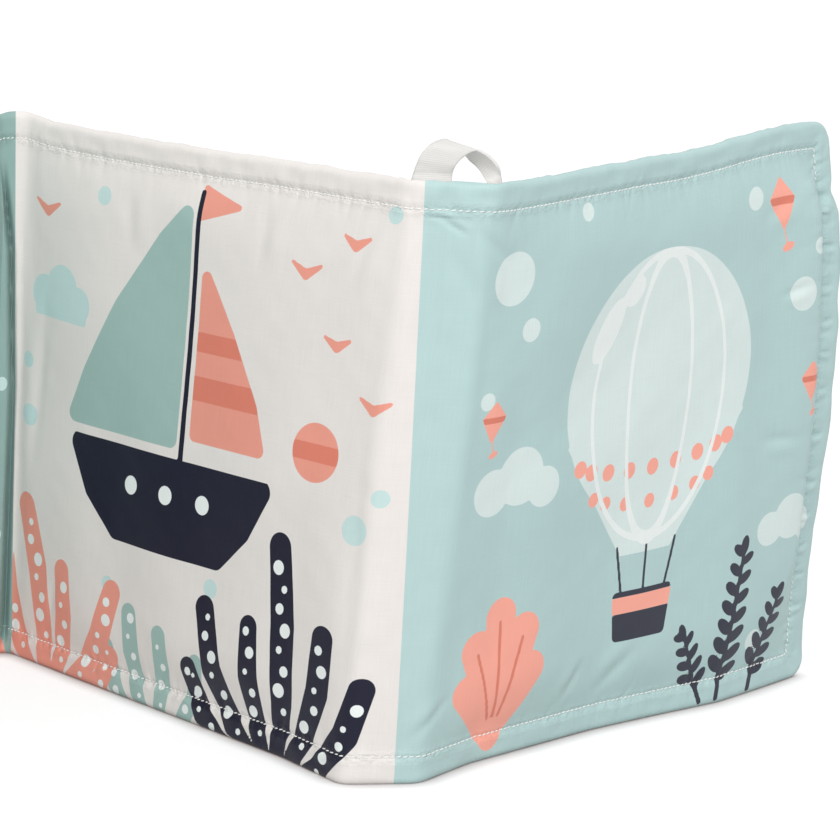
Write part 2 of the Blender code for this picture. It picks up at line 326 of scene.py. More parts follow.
class Strip:
    """The strip's middle surface and the relief of its two cloths."""

    def __init__(self):
        self.along = np.arange(-PLAN_REACH, PLAN_REACH + PLAN_STEP / 2, PLAN_STEP)
        self.low = edge_plan(False)
        self.high = edge_plan(True)
        self.low_run = np.gradient(self.low, PLAN_STEP, axis=0)
        self.high_run = np.gradient(self.high, PLAN_STEP, axis=0)
        self.sag = smooth(np.interp(np.abs(self.along), SAG[:, 0], SAG[:, 1]), SAG_BLUNTING)
        self.relief_s = np.arange(-LENGTH - 2 * MM, LENGTH + 2.2 * MM, RELIEF_STEP)
        self.relief_z = np.arange(-2 * MM, HEIGHT + 2.2 * MM, RELIEF_STEP)
        self.relief = {face: relief_of(self.relief_s, self.relief_z, face) for face in (FRONT, BACK)}

    def at(self, values, s):
        """A table over the strip's length, read at s."""
        return np.interp(s, self.along, values)

    def middle(self, s, z):
        """Point and unit normal, to the front, of the middle surface.

        The point is low(s) + (high(s) - low(s)) * z / HEIGHT, and the normal is the cross
        product of its two slopes. Towards a free side, s moves out and the point moves to the
        front by the bulge's share at the height.
        """
        share = z / HEIGHT
        bulge = np.interp(share, BULGE_SHARES[:, 0], BULGE_SHARES[:, 1])
        near_side = np.clip((np.abs(s) - LENGTH + BULGE_REACH) / BULGE_REACH, 0.0, 1.2) ** 2
        s = s + np.sign(s) * BULGE_ALONG * bulge * near_side
        point = np.empty(s.shape + (3,))
        run = np.zeros_like(point)
        climb = np.zeros_like(point)
        for axis in (0, 1):
            low, high = self.at(self.low[:, axis], s), self.at(self.high[:, axis], s)
            point[..., axis] = low + (high - low) * share
            climb[..., axis] = (high - low) / HEIGHT
            low, high = self.at(self.low_run[:, axis], s), self.at(self.high_run[:, axis], s)
            run[..., axis] = low + (high - low) * share
        drop = self.at(self.sag, s)
        point[..., 2] = z - drop * share
        climb[..., 2] = 1.0
        normal = np.cross(run, climb)
        normal /= np.linalg.norm(normal, axis=-1, keepdims=True)
        point = point + normal * (BULGE_FRONT * bulge * near_side - notch(s, z))[..., None]
        return point, normal

    def relief_at(self, s, z, face):
        """The relief's table, read between its points."""
        table = self.relief[face]
        i = np.clip((s - self.relief_s[0]) / RELIEF_STEP, 0, len(self.relief_s) - 1.001)
        j = np.clip((z - self.relief_z[0]) / RELIEF_STEP, 0, len(self.relief_z) - 1.001)
        i0, j0 = i.astype(int), j.astype(int)
        u, v = i - i0, j - j0
        return (
            table[i0, j0] * (1 - u) * (1 - v)
            + table[i0 + 1, j0] * u * (1 - v)
            + table[i0, j0 + 1] * (1 - u) * v
            + table[i0 + 1, j0 + 1] * u * v
        )

    def outer_half(self, s, z, face):
        """Distance of a cloth's outside from the middle surface."""
        edge = edge_distance(s, z)
        relief = self.relief_at(s, z, face) * ease(edge / (1.5 * MM))
        least = 0.08 * MM * ease(edge / MM) + 0.02 * MM
        return np.maximum(half_thickness(s, z, edge) + relief, least)

    def surface(self, s, z, face, lift=0.0):
        """Point of a cloth's outside, lifted off it by a distance."""
        point, normal = self.middle(s, z)
        return point + normal * (face * (self.outer_half(s, z, face) + lift))[..., None]

    def outward(self, s, z, face):
        """Unit normal of a cloth's outside, from the differences of points around."""
        step = 0.35 * MM
        across = self.surface(s + step, z, face) - self.surface(s - step, z, face)
        up = self.surface(s, z + step, face) - self.surface(s, z - step, face)
        normal = face * np.cross(across, up)
        return normal / np.maximum(np.linalg.norm(normal, axis=-1, keepdims=True), 1e-12)


def ease(share):
    """A smooth step from 0 to 1."""
    share = np.clip(share, 0.0, 1.0)
    return share * share * (3 - 2 * share)


def swell(share):
    """A rise from 0 to 1 that starts steeply and ends level."""
    return 1 - (1 - np.clip(share, 0.0, 1.0)) ** 2


def edge_distance(s, z):
    """Distance from the sewn outline, whose free corners are rounded."""
    up = np.minimum(z, HEIGHT - z)
    side = LENGTH - np.abs(s)
    radius = sizes().corner_radius
    corner = radius - np.hypot(radius - up, radius - side)
    return np.where((up < radius) & (side < radius), corner, np.minimum(up, side))


def fold_distance(s):
    """Distance into a page from its nearest fold, 0 in the folds."""
    run = np.abs(s)
    page = np.minimum(run - PAGE_START, PAGE_END - run)
    return np.maximum(np.where(run > FOLD_CENTRE, run - END_PAGE_START, page), 0.0)


# The padding: how far it takes to rise from a stitched line and from a fold, how much steeper
# it rises at a free side, how much higher it stands there, and the share that pages 2 and 3 have
PAD_RISE = 22.0 * MM
FOLD_RISE = 46.0 * MM
SIDE_STEEPER = 14.5 * MM
SIDE_SWELL_SHARE = 0.42
INNER_PAD_SHARE = 0.76
# The rim: the share of its width that is round, the share in which it falls to the seam, and
# its thickness in the folds
ROUND_SHARE = 0.28
FALL_SHARE = 0.3
FOLD_RIM_SHARE = 0.72
GROOVE_DEPTH = 0.22 * MM
GROOVE_WIDTH = 0.7 * MM


def mid_height(z):
    """A share that is 1 about half way up a page and 0 at its two stitched lines."""
    inset = sizes().seam_inset
    return ease((HEIGHT - z - inset) / (15 * MM)) * ease((z - inset - 8 * MM) / (34 * MM))


def half_thickness(s, z, edge):
    """Half the book's thickness, without relief.

    Outside the stitched line it is a flattened rim that closes at the outline with a quarter
    round. Inside, it rises from the line like 1 - (1 - x)^2 to the padding, more steeply at a
    free side, and it falls off to flat cloth at a fold. The thread pulls a fine groove in,
    exp(-(x / width)^2) across. The two inner pages are flatter, so that they close face to face.
    """
    book = sizes()
    fold = ease(fold_distance(s) / FOLD_RISE) ** 0.7
    seam = FLAT_HALF + (book.seam_half - FLAT_HALF) * (0.3 + 0.7 * fold)
    share = np.clip(edge / book.seam_inset, 0.0, 1.0)
    round_edge = np.sqrt(1 - (1 - np.minimum(share / ROUND_SHARE, 1.0)) ** 2)
    rim = book.rim_half * (FOLD_RIM_SHARE + (1 - FOLD_RIM_SHARE) * fold)
    outside = (seam + (rim - seam) * ease((1 - share) / FALL_SHARE)) * round_edge
    up = np.minimum(z, HEIGHT - z) - book.seam_inset
    side = LENGTH - np.abs(s) - book.seam_inset
    middle = mid_height(z)
    full = np.where(np.abs(s) < FOLD_CENTRE, INNER_PAD_SHARE, 1.0)
    full = full + SIDE_SWELL_SHARE * middle * np.exp(-(((side - 9 * MM) / (15 * MM)) ** 2))
    rise = swell(up / PAD_RISE) * swell(side / (PAD_RISE - SIDE_STEEPER * middle))
    inside = seam + (book.pad_half * full - seam) * rise * fold
    groove = GROOVE_DEPTH * np.exp(-(((edge - book.seam_inset) / GROOVE_WIDTH) ** 2))
    return np.where(edge < book.seam_inset, outside, inside) - groove


# Relief of the cloth


def waves(s, z, rng, count, shortest, longest):
    """Soft waves: a sum of plane waves of random direction, length and phase, about -1 to 1."""
    total = np.zeros(s.shape)
    for _ in range(count):
        heading = rng.uniform(0, math.pi)
        length = rng.uniform(shortest, longest)
        phase = rng.uniform(0, 2 * math.pi)
        total += np.sin((s * math.cos(heading) + z * math.sin(heading)) * 2 * math.pi / length + phase)
    return total / math.sqrt(count)


def puckers(run, depth_in, rng, low, high):
    """Puckers along a stitched line, from 0 to about 1 deep.

    Each is a furrow, exp(-(x / width)^2) across, that starts at the line and dies away as
    exp(-d / length) inwards, and a little sooner outwards. run is the distance along the line,
    depth_in that from it.
    """
    total = np.zeros(run.shape)
    place = low
    while place < high:
        place += rng.uniform(2.8 * MM, 7.0 * MM)
        width = rng.uniform(0.75 * MM, 1.5 * MM)
        length = rng.uniform(1.6 * MM, 5.0 * MM)
        slant = rng.uniform(-0.45, 0.45)
        depth = rng.uniform(0.25, 1.0)
        near = (np.abs(run - place) < 8 * MM) & (depth_in > -9 * MM) & (depth_in < 24 * MM)
        d = depth_in[near]
        x = run[near] - place - slant * d
        into = np.where(d > 0, d / length, -d / (0.8 * length))
        total[near] += depth * np.exp(-((x / (width * (1 + 0.25 * into))) ** 2) - into)
    return total


def long_creases(s, z, table):
    """Single folds in the cloth, each a row of the table, in millimetres and degrees.

    A row holds s and z of the start, the heading, length, depth and width. Each is a furrow,
    exp(-(y / width)^2), that swells and dies as sin^2 along its length, with a low ridge
    beside it.
    """
    total = np.zeros(s.shape)
    for start_s, start_z, heading, *measures in table:
        length, depth, width = (measure * MM for measure in measures)
        cos, sin = pointing(heading)
        x, y = s - start_s * MM, z - start_z * MM
        along = x * cos + y * sin
        across = y * cos - x * sin
        inside = (along > 0) & (along < length)
        grow = np.where(inside, np.sin(math.pi * np.clip(along / length, 0, 1)) ** 2, 0.0)
        furrow = np.exp(-((across / width) ** 2))
        ridge = np.exp(-(((across - 1.9 * width) / (1.4 * width)) ** 2))
        total += depth * grow * (0.7 * ridge - furrow)
    return total


# Creases of the front's right half, the ones above the loop's fold first
FRONT_CREASES = (
    (195.5, 189.3, -31, 14, 0.55, 0.9), (190, 189, -6, 15, 0.5, 0.7),
    (198.5, 201, -93, 14, 0.7, 2.6), (197, 185, -58, 36, 0.35, 3), (199, 206, -92, 85, 0.6, 3.2),
    (206, 187, -40, 24, 0.5, 2), (180, 188, -115, 30, 0.4, 2.4), (206, 13, 48, 24, 0.5, 1.8),
    (272, 12, 62, 22, 0.6, 2), (286, 12, 40, 30, 0.6, 2.6), (378, 178, -160, 26, 0.4, 2.4),
    (395, 170, 176, 7, 0.9, 0.9), (396.5, 174.5, -168, 9, 1.8, 1.6), (396, 142, 178, 8, 0.7, 1),
    (396, 118, 170, 7, 0.6, 0.8), (395.5, 89, -176, 8, 0.7, 0.9), (396, 60, 178, 8, 0.6, 0.8),
    (395.5, 49, -172, 8, 0.7, 0.9), (396, 38, 174, 8, 0.7, 0.8), (395.5, 27, -174, 7, 0.6, 0.8),
    (396.5, 156, 172, 7, 0.7, 0.9), (396, 130, -176, 6, 0.6, 0.9), (396, 105, 174, 7, 0.6, 0.9),
    (396, 72, -172, 7, 0.6, 0.9), (382, 145, -170, 18, 0.5, 1.6), (382, 90, 172, 24, 0.5, 2),
    (130, 187, -96, 26, 0.5, 3), (62, 187, -84, 30, 0.5, 3.4), (30, 13, 80, 26, 0.4, 2.4),
    (16, 60, 86, 90, 0.5, 3),
)
LEFT_FRONT_CREASES = (
    (-195.5, 189.3, -149, 14, 0.5, 0.9), (-198, 12, 128, 26, 0.6, 2.2),
    (-130, 187, -84, 28, 0.5, 3), (-70, 13, 98, 30, 0.5, 3), (-280, 12, 120, 26, 0.6, 2.4),
    (-396, 150, 6, 7, 0.7, 0.9), (-396, 102, -8, 7, 0.7, 0.9), (-396, 56, 5, 7, 0.7, 0.9),
)


# Where page 2's padding bulges over the valley: height and the place of its right edge
LAP_EDGE = MM * np.array(((0.0, 3.0), (100.0, 2.8), (150.0, 0.0), (180.0, -5.0), (200.0, -9.0)))
LAP_RISE = 2.8 * MM
NOTCH_DEPTH = 5.0 * MM
NOTCH_WIDTH = 1.4 * MM


def lap_height(z):
    """Share of the lap at a height: none at the two rims."""
    return ease((z - 1 * MM) / (10 * MM)) * ease((HEIGHT - 14 * MM - z) / (25 * MM))


def lap(s, z):
    """How high page 2's padding stands over the valley: a steep side, then a slow fall."""
    edge = np.interp(z, LAP_EDGE[:, 0], LAP_EDGE[:, 1])
    side = ease((edge - s) / (2.0 * MM)) * (1 - ease((-s - 12 * MM) / (26 * MM)))
    return LAP_RISE * side * lap_height(z)


def notch(s, z):
    """How deep the book is pinched beside the lap: exp(-(x / width)^2) across."""
    edge = np.interp(z, LAP_EDGE[:, 0], LAP_EDGE[:, 1])
    return NOTCH_DEPTH * np.exp(-(((s - edge) / NOTCH_WIDTH) ** 2)) * lap_height(z)


# Heights of the finer waves: all over a page, in the folds and along the rim
FINE_WAVES = 0.045 * MM
FOLD_WAVES = 0.22 * MM
RIM_WAVES = 0.20 * MM


def relief_of(along, up, face):
    """The relief of one cloth over the whole strip: waves, puckers and single creases."""
    book = sizes()
    rng = np.random.default_rng(11 if face == FRONT else 29)
    s, z = np.meshgrid(along, up, indexing="ij")
    edge = edge_distance(s, z)
    inside = edge - book.seam_inset
    fold = ease(fold_distance(s) / (14 * MM))
    pad = ease(inside / (16 * MM)) * fold
    total = book.wave_height * waves(s, z, rng, 9, 34 * MM, 95 * MM) * pad
    total += FINE_WAVES * waves(s, z, rng, 12, 9 * MM, 24 * MM) * ease(inside / (8 * MM))
    in_fold = (1 - fold) * ease(inside / (6 * MM))
    total += FOLD_WAVES * waves(s, z * 0.22, rng, 8, 9 * MM, 22 * MM) * in_fold
    rim = np.exp(-(((inside + 4.5 * MM) / (3.2 * MM)) ** 2))
    total += RIM_WAVES * waves(s, z, rng, 10, 9 * MM, 30 * MM) * rim
    furrows = puckers(s, HEIGHT - z - book.seam_inset, rng, -LENGTH, LENGTH)
    furrows += puckers(s, z - book.seam_inset, rng, -LENGTH, LENGTH)
    for side in (1, -1):
        furrows += 1.5 * puckers(z, LENGTH - side * s - book.seam_inset, rng, 0.0, HEIGHT)
    total -= book.crease_depth * np.minimum(furrows, 1.4)
    if face == FRONT:
        return total + lap(s, z) + long_creases(s, z, FRONT_CREASES + LEFT_FRONT_CREASES)
    return total + long_creases(-s, z, FRONT_CREASES[4:]) + long_creases(s, z, FRONT_CREASES[4:])


# Meshes


def grid_quads(count, height, first=0):
    """Corner numbers of a grid's quads, count columns by height rows of points."""
    i, j = np.meshgrid(np.arange(count - 1), np.arange(height - 1), indexing="ij")
    a = first + i * height + j
    return np.stack((a, a + height, a + height + 1, a + 1), -1).reshape(-1, 4)


def border(count, height):
    """Point numbers round a grid, in the turning sense of its quads."""
    bottom = np.arange(count) * height
    right = (count - 1) * height + np.arange(1, height)
    top = (np.arange(count - 2, -1, -1)) * height + height - 1
    left = np.arange(height - 2, 0, -1)
    return np.concatenate((bottom, right, top, left))


def shell_quads(count, height):
    """Quads of a closed shell: a grid outside, one inside turned round, and the wall between."""
    total = count * height
    ring = border(count, height)
    after = np.roll(ring, -1)
    return np.concatenate((
        grid_quads(count, height),
        grid_quads(count, height, total)[:, ::-1],
        np.stack((after, ring, ring + total, after + total), -1),
    ))


def listed(*grids):
    """Grids of points or places, one after the other, as one list."""
    return np.concatenate([grid.reshape(-1, grid.shape[-1]) for grid in grids])


def new_piece(name, points, quads, material, normals=None, uv=None):
    """A mesh object at the origin from arrays of points and quads."""
    mesh = bpy.data.meshes.new(name)
    mesh.vertices.add(len(points))
    mesh.vertices.foreach_set("co", np.ascontiguousarray(points, np.float32).ravel())
    mesh.loops.add(quads.size)
    mesh.loops.foreach_set("vertex_index", quads.astype(np.int32).ravel())
    mesh.polygons.add(len(quads))
    mesh.polygons.foreach_set("loop_start", np.arange(0, quads.size, 4, dtype=np.int32))
    mesh.polygons.foreach_set("loop_total", np.full(len(quads), 4, np.int32))
    mesh.update(calc_edges=True)
    mesh.shade_smooth()
    if uv is not None:
        layer = mesh.uv_layers.new(name="strip")
        layer.data.foreach_set("uv", uv[quads.ravel()].astype(np.float32).ravel())
    if normals is not None:
        mesh.normals_split_custom_set_from_vertices(normals)
    mesh.materials.append(material)
    made = bpy.data.objects.new(name, mesh)
    bpy.context.scene.collection.objects.link(made)
    return made


def add_attribute(piece, name, values):
    """A named value at every point."""
    layer = piece.data.attributes.new(name, "FLOAT", "POINT")
    layer.data.foreach_set("value", values.astype(np.float32).ravel())


def even(first, last, step):
    """Evenly spaced places from first to last, both included."""
    return np.linspace(first, last, max(2, int(round(abs(last - first) / step)) + 1))


def rows_of(step):
    """Heights of the rows: close together in the rim, then even."""
    inner = RIM_STEPS[-1]
    middle = even(inner, HEIGHT - inner, step)
    return np.concatenate((RIM_STEPS[:-1], middle, HEIGHT - RIM_STEPS[-2::-1]))


def free(place):
    """Whether a place along the strip is one of its two free sides."""
    return abs(place) > LENGTH - 1e-9


def columns_of(first, last, step):
    """Places of the columns from first to last, close together at a free side."""
    inner = RIM_STEPS[-1]
    if free(last):
        return np.concatenate((even(first, LENGTH - inner, step), LENGTH - RIM_STEPS[-2::-1]))
    if free(first):
        return np.concatenate((RIM_STEPS[:-1] - LENGTH, even(inner - LENGTH, last, step)))
    return even(first, last, step)


def round_corners(s, z):
    """Rows drawn in towards the middle at a free side, so that its corners are round."""
    radius = sizes().corner_radius
    into = np.clip(np.abs(s) - (LENGTH - radius), 0.0, radius)
    drop = radius - np.sqrt(radius**2 - into**2)
    middle = HEIGHT / 2
    return middle + (z - middle) * (1 - drop / middle)


# A nick in the free sides
NICK_HEIGHT = 176.0 * MM
NICK_DEPTH = 1.0 * MM
NICK_WIDTH = 3.0 * MM


def wavy_outline(s, z):
    """The outline waved by half a millimetre, dying away towards the stitched line."""
    rim = 1 - ease(edge_distance(s, z) / sizes().seam_inset)
    rng = np.random.default_rng(5)
    wave = waves(s, 0.0 * z, rng, 7, 9 * MM, 40 * MM) * 0.20 * MM
    wave += waves(s, 0.0 * z, rng, 9, 3 * MM, 8 * MM) * 0.13 * MM
    side_wave = waves(z, 0.0 * s, rng, 7, 6 * MM, 30 * MM) * 0.30 * MM
    top = rim * (z > HEIGHT / 2) * ease((z - HEIGHT / 2) / (60 * MM))
    z = z + top * wave
    run = np.abs(s)
    side = rim * ease((run - LENGTH + 30 * MM) / (20 * MM))
    nick = NICK_DEPTH * np.exp(-(((z - NICK_HEIGHT) / NICK_WIDTH) ** 2))
    return s + np.sign(s) * side * (side_wave - nick), z


# How far the cloth's inside stays off the middle surface, and how wide the thread pulls at it
INSIDE_HALF = 0.15 * MM
PULL_WIDTH = 1.9 * MM


def cloth_piece(strip, name, columns, rows, face, material):
    """One cloth: its outside, its inside and the closed border between them.

    The outside lies at the book's half thickness. The inside lies one cloth further in, or
    near the middle surface in the rim, where the turned-in seam fills the space. The attribute
    pull, exp(-(x / width)^2), tells how near the stitched line is.
    """
    s, z = np.meshgrid(columns, rows, indexing="ij")
    z = round_corners(s, z)
    edge = edge_distance(s, z)
    point, normal = strip.middle(*wavy_outline(s, z))
    outer_half = strip.outer_half(s, z, face)
    near = np.minimum(INSIDE_HALF, outer_half * 0.5)
    inner_half = np.where(edge < sizes().seam_inset, near, np.maximum(outer_half - CLOTH, near))
    outer = point + normal * (face * outer_half)[..., None]
    inner = point + normal * (face * inner_half)[..., None]
    quads = shell_quads(*s.shape)
    if face == BACK:
        quads = quads[:, ::-1]
    outward = strip.outward(s, z, face)
    uv = np.stack((s / STRIP_MAP_WIDTH + 0.5, z / STRIP_MAP_WIDTH), -1)
    piece = new_piece(
        name, listed(outer, inner), quads, material, listed(outward, -outward), listed(uv, uv))
    pull = np.exp(-(((edge - sizes().seam_inset) / PULL_WIDTH) ** 2))
    inks = front_print(s, z) if face == FRONT else back_print(s, z)
    for attribute, values in {"pull": pull, **inks}.items():
        add_attribute(piece, attribute, np.stack((values, values)))
    return piece


# Print: every shape is a signed distance in millimetres, positive inside the shape

# The least signed distance, far outside every shape
OUTSIDE = -9.0


def disc(x, y, cx, cy, radius):
    """Distance into a disc."""
    return radius - np.hypot(x - cx, y - cy)


def oval(x, y, cx, cy, rx, ry, heading=0.0):
    """About the distance into an oval turned by a heading in degrees."""
    cos, sin = pointing(heading)
    u = (x - cx) * cos + (y - cy) * sin
    v = -(x - cx) * sin + (y - cy) * cos
    near = np.hypot(u / rx, v / ry)
    slope = np.hypot(u / rx**2, v / ry**2)
    return near * (1 - near) / np.maximum(slope, 1e-6)


def bar(x, y, x0, y0, x1, y1, r0, r1=None):
    """About the distance into a bar with round ends, whose radius goes from r0 to r1.

    It is (r^2 - d^2) / 2r, which has no ridge along the middle line, so thin bars stay even.
    """
    dx, dy = x1 - x0, y1 - y0
    share = np.clip(((x - x0) * dx + (y - y0) * dy) / (dx * dx + dy * dy), 0, 1)
    radius = r0 + ((r0 if r1 is None else r1) - r0) * share
    near = (x - x0 - share * dx) ** 2 + (y - y0 - share * dy) ** 2
    return np.maximum((radius**2 - near) / (2 * radius), OUTSIDE)


def patch(x, y, corners, grow=0.0):
    """Distance into a polygon, grown by a distance so that its corners are round."""
    corners = np.array(corners, float)
    best = np.full(x.shape, 1e9)
    inside = np.zeros(x.shape, bool)
    for (x0, y0), (x1, y1) in zip(corners, np.roll(corners, -1, axis=0)):
        dx, dy = x1 - x0, y1 - y0
        share = np.clip(((x - x0) * dx + (y - y0) * dy) / (dx * dx + dy * dy), 0, 1)
        best = np.minimum(best, np.hypot(x - x0 - share * dx, y - y0 - share * dy))
        if dy:
            inside ^= ((y0 > y) != (y1 > y)) & (x < x0 + dx * (y - y0) / dy)
    return np.where(inside, best, -best) + grow


def join(*shapes):
    """Shapes taken together."""
    return np.maximum.reduce(shapes)


def cut(shape, *others):
    """A shape without the others."""
    return np.minimum.reduce((shape, *(-other for other in others)))


def within(shape, *others):
    """What the shapes share."""
    return np.minimum.reduce((shape, *others))


def dots(x, y, places):
    """Several discs, or the round bumps of a hill: x, y and radius of each."""
    return join(*(disc(x, y, cx, cy, r) for cx, cy, r in places))


def sprig(x, y, x0, y0, x1, y1, pairs, leaf):
    """A stem with pairs of oval leaves, smaller towards the tip, and one at its tip."""
    shapes = [bar(x, y, x0, y0, x1, y1, 1.1, 0.8)]
    lean = math.degrees(math.atan2(y1 - y0, x1 - x0))
    up = pointing(lean)
    for step in range(pairs):
        share = (step + 1.0) / (pairs + 0.6)
        cx, cy = x0 + (x1 - x0) * share, y0 + (y1 - y0) * share
        size = leaf * (1.15 - 0.45 * share)
        for turn, shift in ((52, 3), (-52, 0)):
            out = pointing(lean + turn)
            place = cx + out[0] * size + shift * up[0], cy + out[1] * size + shift * up[1]
            shapes.append(oval(x, y, *place, size, size * 0.52, lean + turn))
    tip = x1 + up[0] * leaf * 0.6, y1 + up[1] * leaf * 0.6
    shapes.append(oval(x, y, *tip, leaf * 0.8, leaf * 0.45, lean))
    return join(*shapes)


def kite(x, y, cx, cy, size):
    """A small kite with a short tail, and the darker band across it."""
    half, low = size * 0.7, cy - size * 1.2
    body = patch(x, y, ((cx - half, cy), (cx, low), (cx + half, cy), (cx, cy + size * 0.8)), 0.8)
    end = cx + size * 0.3, cy - size * 2.1
    tail = bar(x, y, cx, low, *end, 0.5)
    bow = oval(x, y, *end, size * 0.35, size * 0.18, 20)
    return join(body, tail, bow), within(body, size * 0.17 - np.abs(y - cy + size * 0.1))


def tuft(x, y, cx, cy, leaves):
    """A tuft of rounded, bent leaves from one root, and the dots along them.

    Each leaf is its heading in degrees, its length, its radius and how many degrees it bends.
    """
    shapes, spots = [], []
    for heading, length, radius, bend in leaves:
        places = [(cx + 9 * pointing(heading)[0], cy)]
        for part in range(3):
            dx, dy = pointing(heading + bend * (part - 0.5))
            px, py = places[-1]
            places.append((px + dx * length / 3, py + dy * length / 3))
        widths = np.array((0.55, 0.85, 1.0, 0.9)) * radius
        for part in range(3):
            ends = (*places[part], *places[part + 1])
            shapes.append(bar(x, y, *ends, widths[part], widths[part + 1]))
        for count, share in enumerate(np.arange(0.9, 2.95, 21.0 / length)):
            part = min(int(share), 2)
            (ax, ay), (bx, by) = places[part], places[part + 1]
            px, py = ax + (bx - ax) * (share - part), ay + (by - ay) * (share - part)
            size = radius * (0.24 + 0.10 * ((count * 2) % 3))
            spots.append((px + 0.22 * radius * (-1) ** count, py, size))
    body = join(*shapes)
    return body, within(dots(x, y, spots), body)


def bird(x, y, cx, cy, size):
    """Two wings that meet in the middle."""
    return join(*(
        bar(x, y, cx, cy, cx + way * size * 1.3, cy + size * 0.7, 1.9, 0.7) for way in (-1, 1)))


def band(x, y, first, last):
    """What lies between two heights."""
    return np.minimum(y - first, last - y) + 0.0 * x


def sailing_page(x, y):
    """Page 3: a boat with a large sail over dotted tufts."""
    shrink = 0.85
    u, v = (x - 92) / shrink + 96, (y - 124) / shrink + 104
    sail = patch(u, v, ((96, 74), (96, 166), (84, 154), (62, 124), (44, 92), (36, 74)), 4)
    jib = patch(u, v, ((110, 78), (110, 142), (126, 120), (142, 94), (148, 78)), 3)
    side = patch(u, v, ((40, 62), (152, 62), (142, 44), (128, 30), (66, 30), (50, 44)), 5)
    hull = within(side, 66 - v)
    mast = bar(u, v, 103, 64, 103, 176, 1.5, 1.3)
    flag = patch(u, v, ((104, 166), (104, 178), (124, 172)), 1.2)
    portholes = dots(u, v, ((74, 50, 4), (96, 50, 4), (118, 50, 4)))
    near_tuft, near_dots = tuft(x, y, 30, -8, (
        (150, 44, 4.6, -22), (122, 58, 5.4, -14), (98, 68, 5.8, 8), (76, 48, 5.0, 14),
        (48, 56, 5.2, 16), (24, 38, 4.6, 26)))
    tall_tuft, tall_dots = tuft(x, y, 158, -8, (
        (158, 52, 4.6, -26), (134, 64, 5.2, -18), (112, 52, 4.8, -10), (92, 80, 5.8, 6),
        (70, 56, 5.0, 12), (46, 50, 4.8, 20)))
    small_tuft, small_dots = tuft(x, y, 92, -8, (
        (140, 34, 4.0, -22), (112, 42, 4.4, -10), (84, 36, 4.2, 10), (50, 36, 4.0, 24)))
    flock = ((20, 168, 5.0), (150, 164, 5.0), (170, 176, 4.2), (166, 142, 4.0), (184, 124, 4.6))
    birds = join(*(bird(x, y, *place) for place in flock))
    puffs = dots(x, y, ((20, 138, 7), (30, 141, 9), (40, 137, 6.5)))
    underside = patch(x, y, ((16, 131), (44, 131), (44, 137), (16, 137)), 1)
    cloud = join(puffs, within(underside, y - 130))
    drops = dots(x, y, (
        (182, 84, 5), (190, 96, 3), (14, 92, 4), (184, 188, 3), (50, 178, 3.4), (12, 112, 3),
        (64, 40, 3), (118, 50, 3.4)))
    sun = disc(x, y, 162, 106, 10)
    return {
        "pale": join(cloud, drops),
        "teal": join(sail, small_tuft),
        "coral": join(jib, flag, birds, near_tuft, sun),
        "rust": join(
            within(jib, band(u, v, 92, 102)), within(jib, band(u, v, 112, 120)),
            within(sun, band(x, y, 103, 109))),
        "navy": join(hull, mast, tall_tuft),
        "white": join(near_dots, tall_dots, small_dots, portholes),
    }


def balloon_page(x, y):
    """Page 4: a hot-air balloon over a garden."""
    bag = disc(x, y, 106, 122, 47)
    envelope = join(bag, patch(x, y, ((62, 106), (94, 64), (118, 64), (150, 106)), 1))
    basket = patch(x, y, ((96, 34), (117, 34), (119, 48), (94, 48)), 2)
    basket_band = band(x, y, 42, 48)
    ropes = join(*(
        bar(x, y, foot, 49, top, 66, 0.7) for foot, top in ((96, 92), (117, 121), (106.5, 106.5))))
    spots = []
    for height, half, radius, count in ((100, 40, 3.0, 9), (88, 31, 2.6, 7)):
        spots += [
            (106 + half * math.sin(angle), height - 7 * math.cos(angle), radius)
            for angle in np.linspace(-1.25, 1.25, count)]
    spots = dots(x, y, spots)
    shine = join(oval(x, y, 76, 144, 5, 12, -30), oval(x, y, 88, 156, 4, 6, -45))
    gores = join(*(
        within(envelope, 0.8 - np.abs(np.hypot((x - 106) / narrow, y - 118) - 50) * narrow)
        for narrow in (0.32, 0.68)))
    clouds = dots(x, y, (
        (28, 96, 8), (40, 100, 10), (51, 95, 7), (168, 60, 6), (178, 63, 8), (187, 59, 6),
        (26, 168, 9), (152, 178, 4), (176, 142, 6), (36, 150, 4), (166, 20, 4), (60, 186, 3),
        (20, 128, 3), (184, 158, 3)))
    leaves, veins = [], []
    for heading, reach, vein in ((62, 26, 0), (78, 38, 36), (94, 44, 42), (110, 36, 34), (126, 24, 0)):
        dx, dy = pointing(heading)
        leaves.append(bar(x, y, 42, 8, 42 + dx * reach, 8 + dy * reach, 4.5, 6.5))
        if vein:
            veins.append(bar(x, y, 42 + dx * 8, 8 + dy * 8, 42 + dx * vein, 8 + dy * vein, 0.7))
    kites = [kite(x, y, *place) for place in ((166, 176, 8.0), (182, 112, 6.0), (24, 122, 6.0))]
    sprigs = join(
        sprig(x, y, 150, 2, 156, 54, 7, 4.3), sprig(x, y, 142, 2, 130, 28, 4, 3.8),
        sprig(x, y, 166, 2, 176, 34, 5, 4.0))
    return {
        "pale": join(envelope, clouds),
        "coral": join(spots, *leaves, *(body for body, _ in kites), within(basket, basket_band)),
        "rust": join(*veins, *(stripe for _, stripe in kites)),
        "navy": join(ropes, sprigs, cut(basket, basket_band)),
        "white": join(shine, gores),
    }


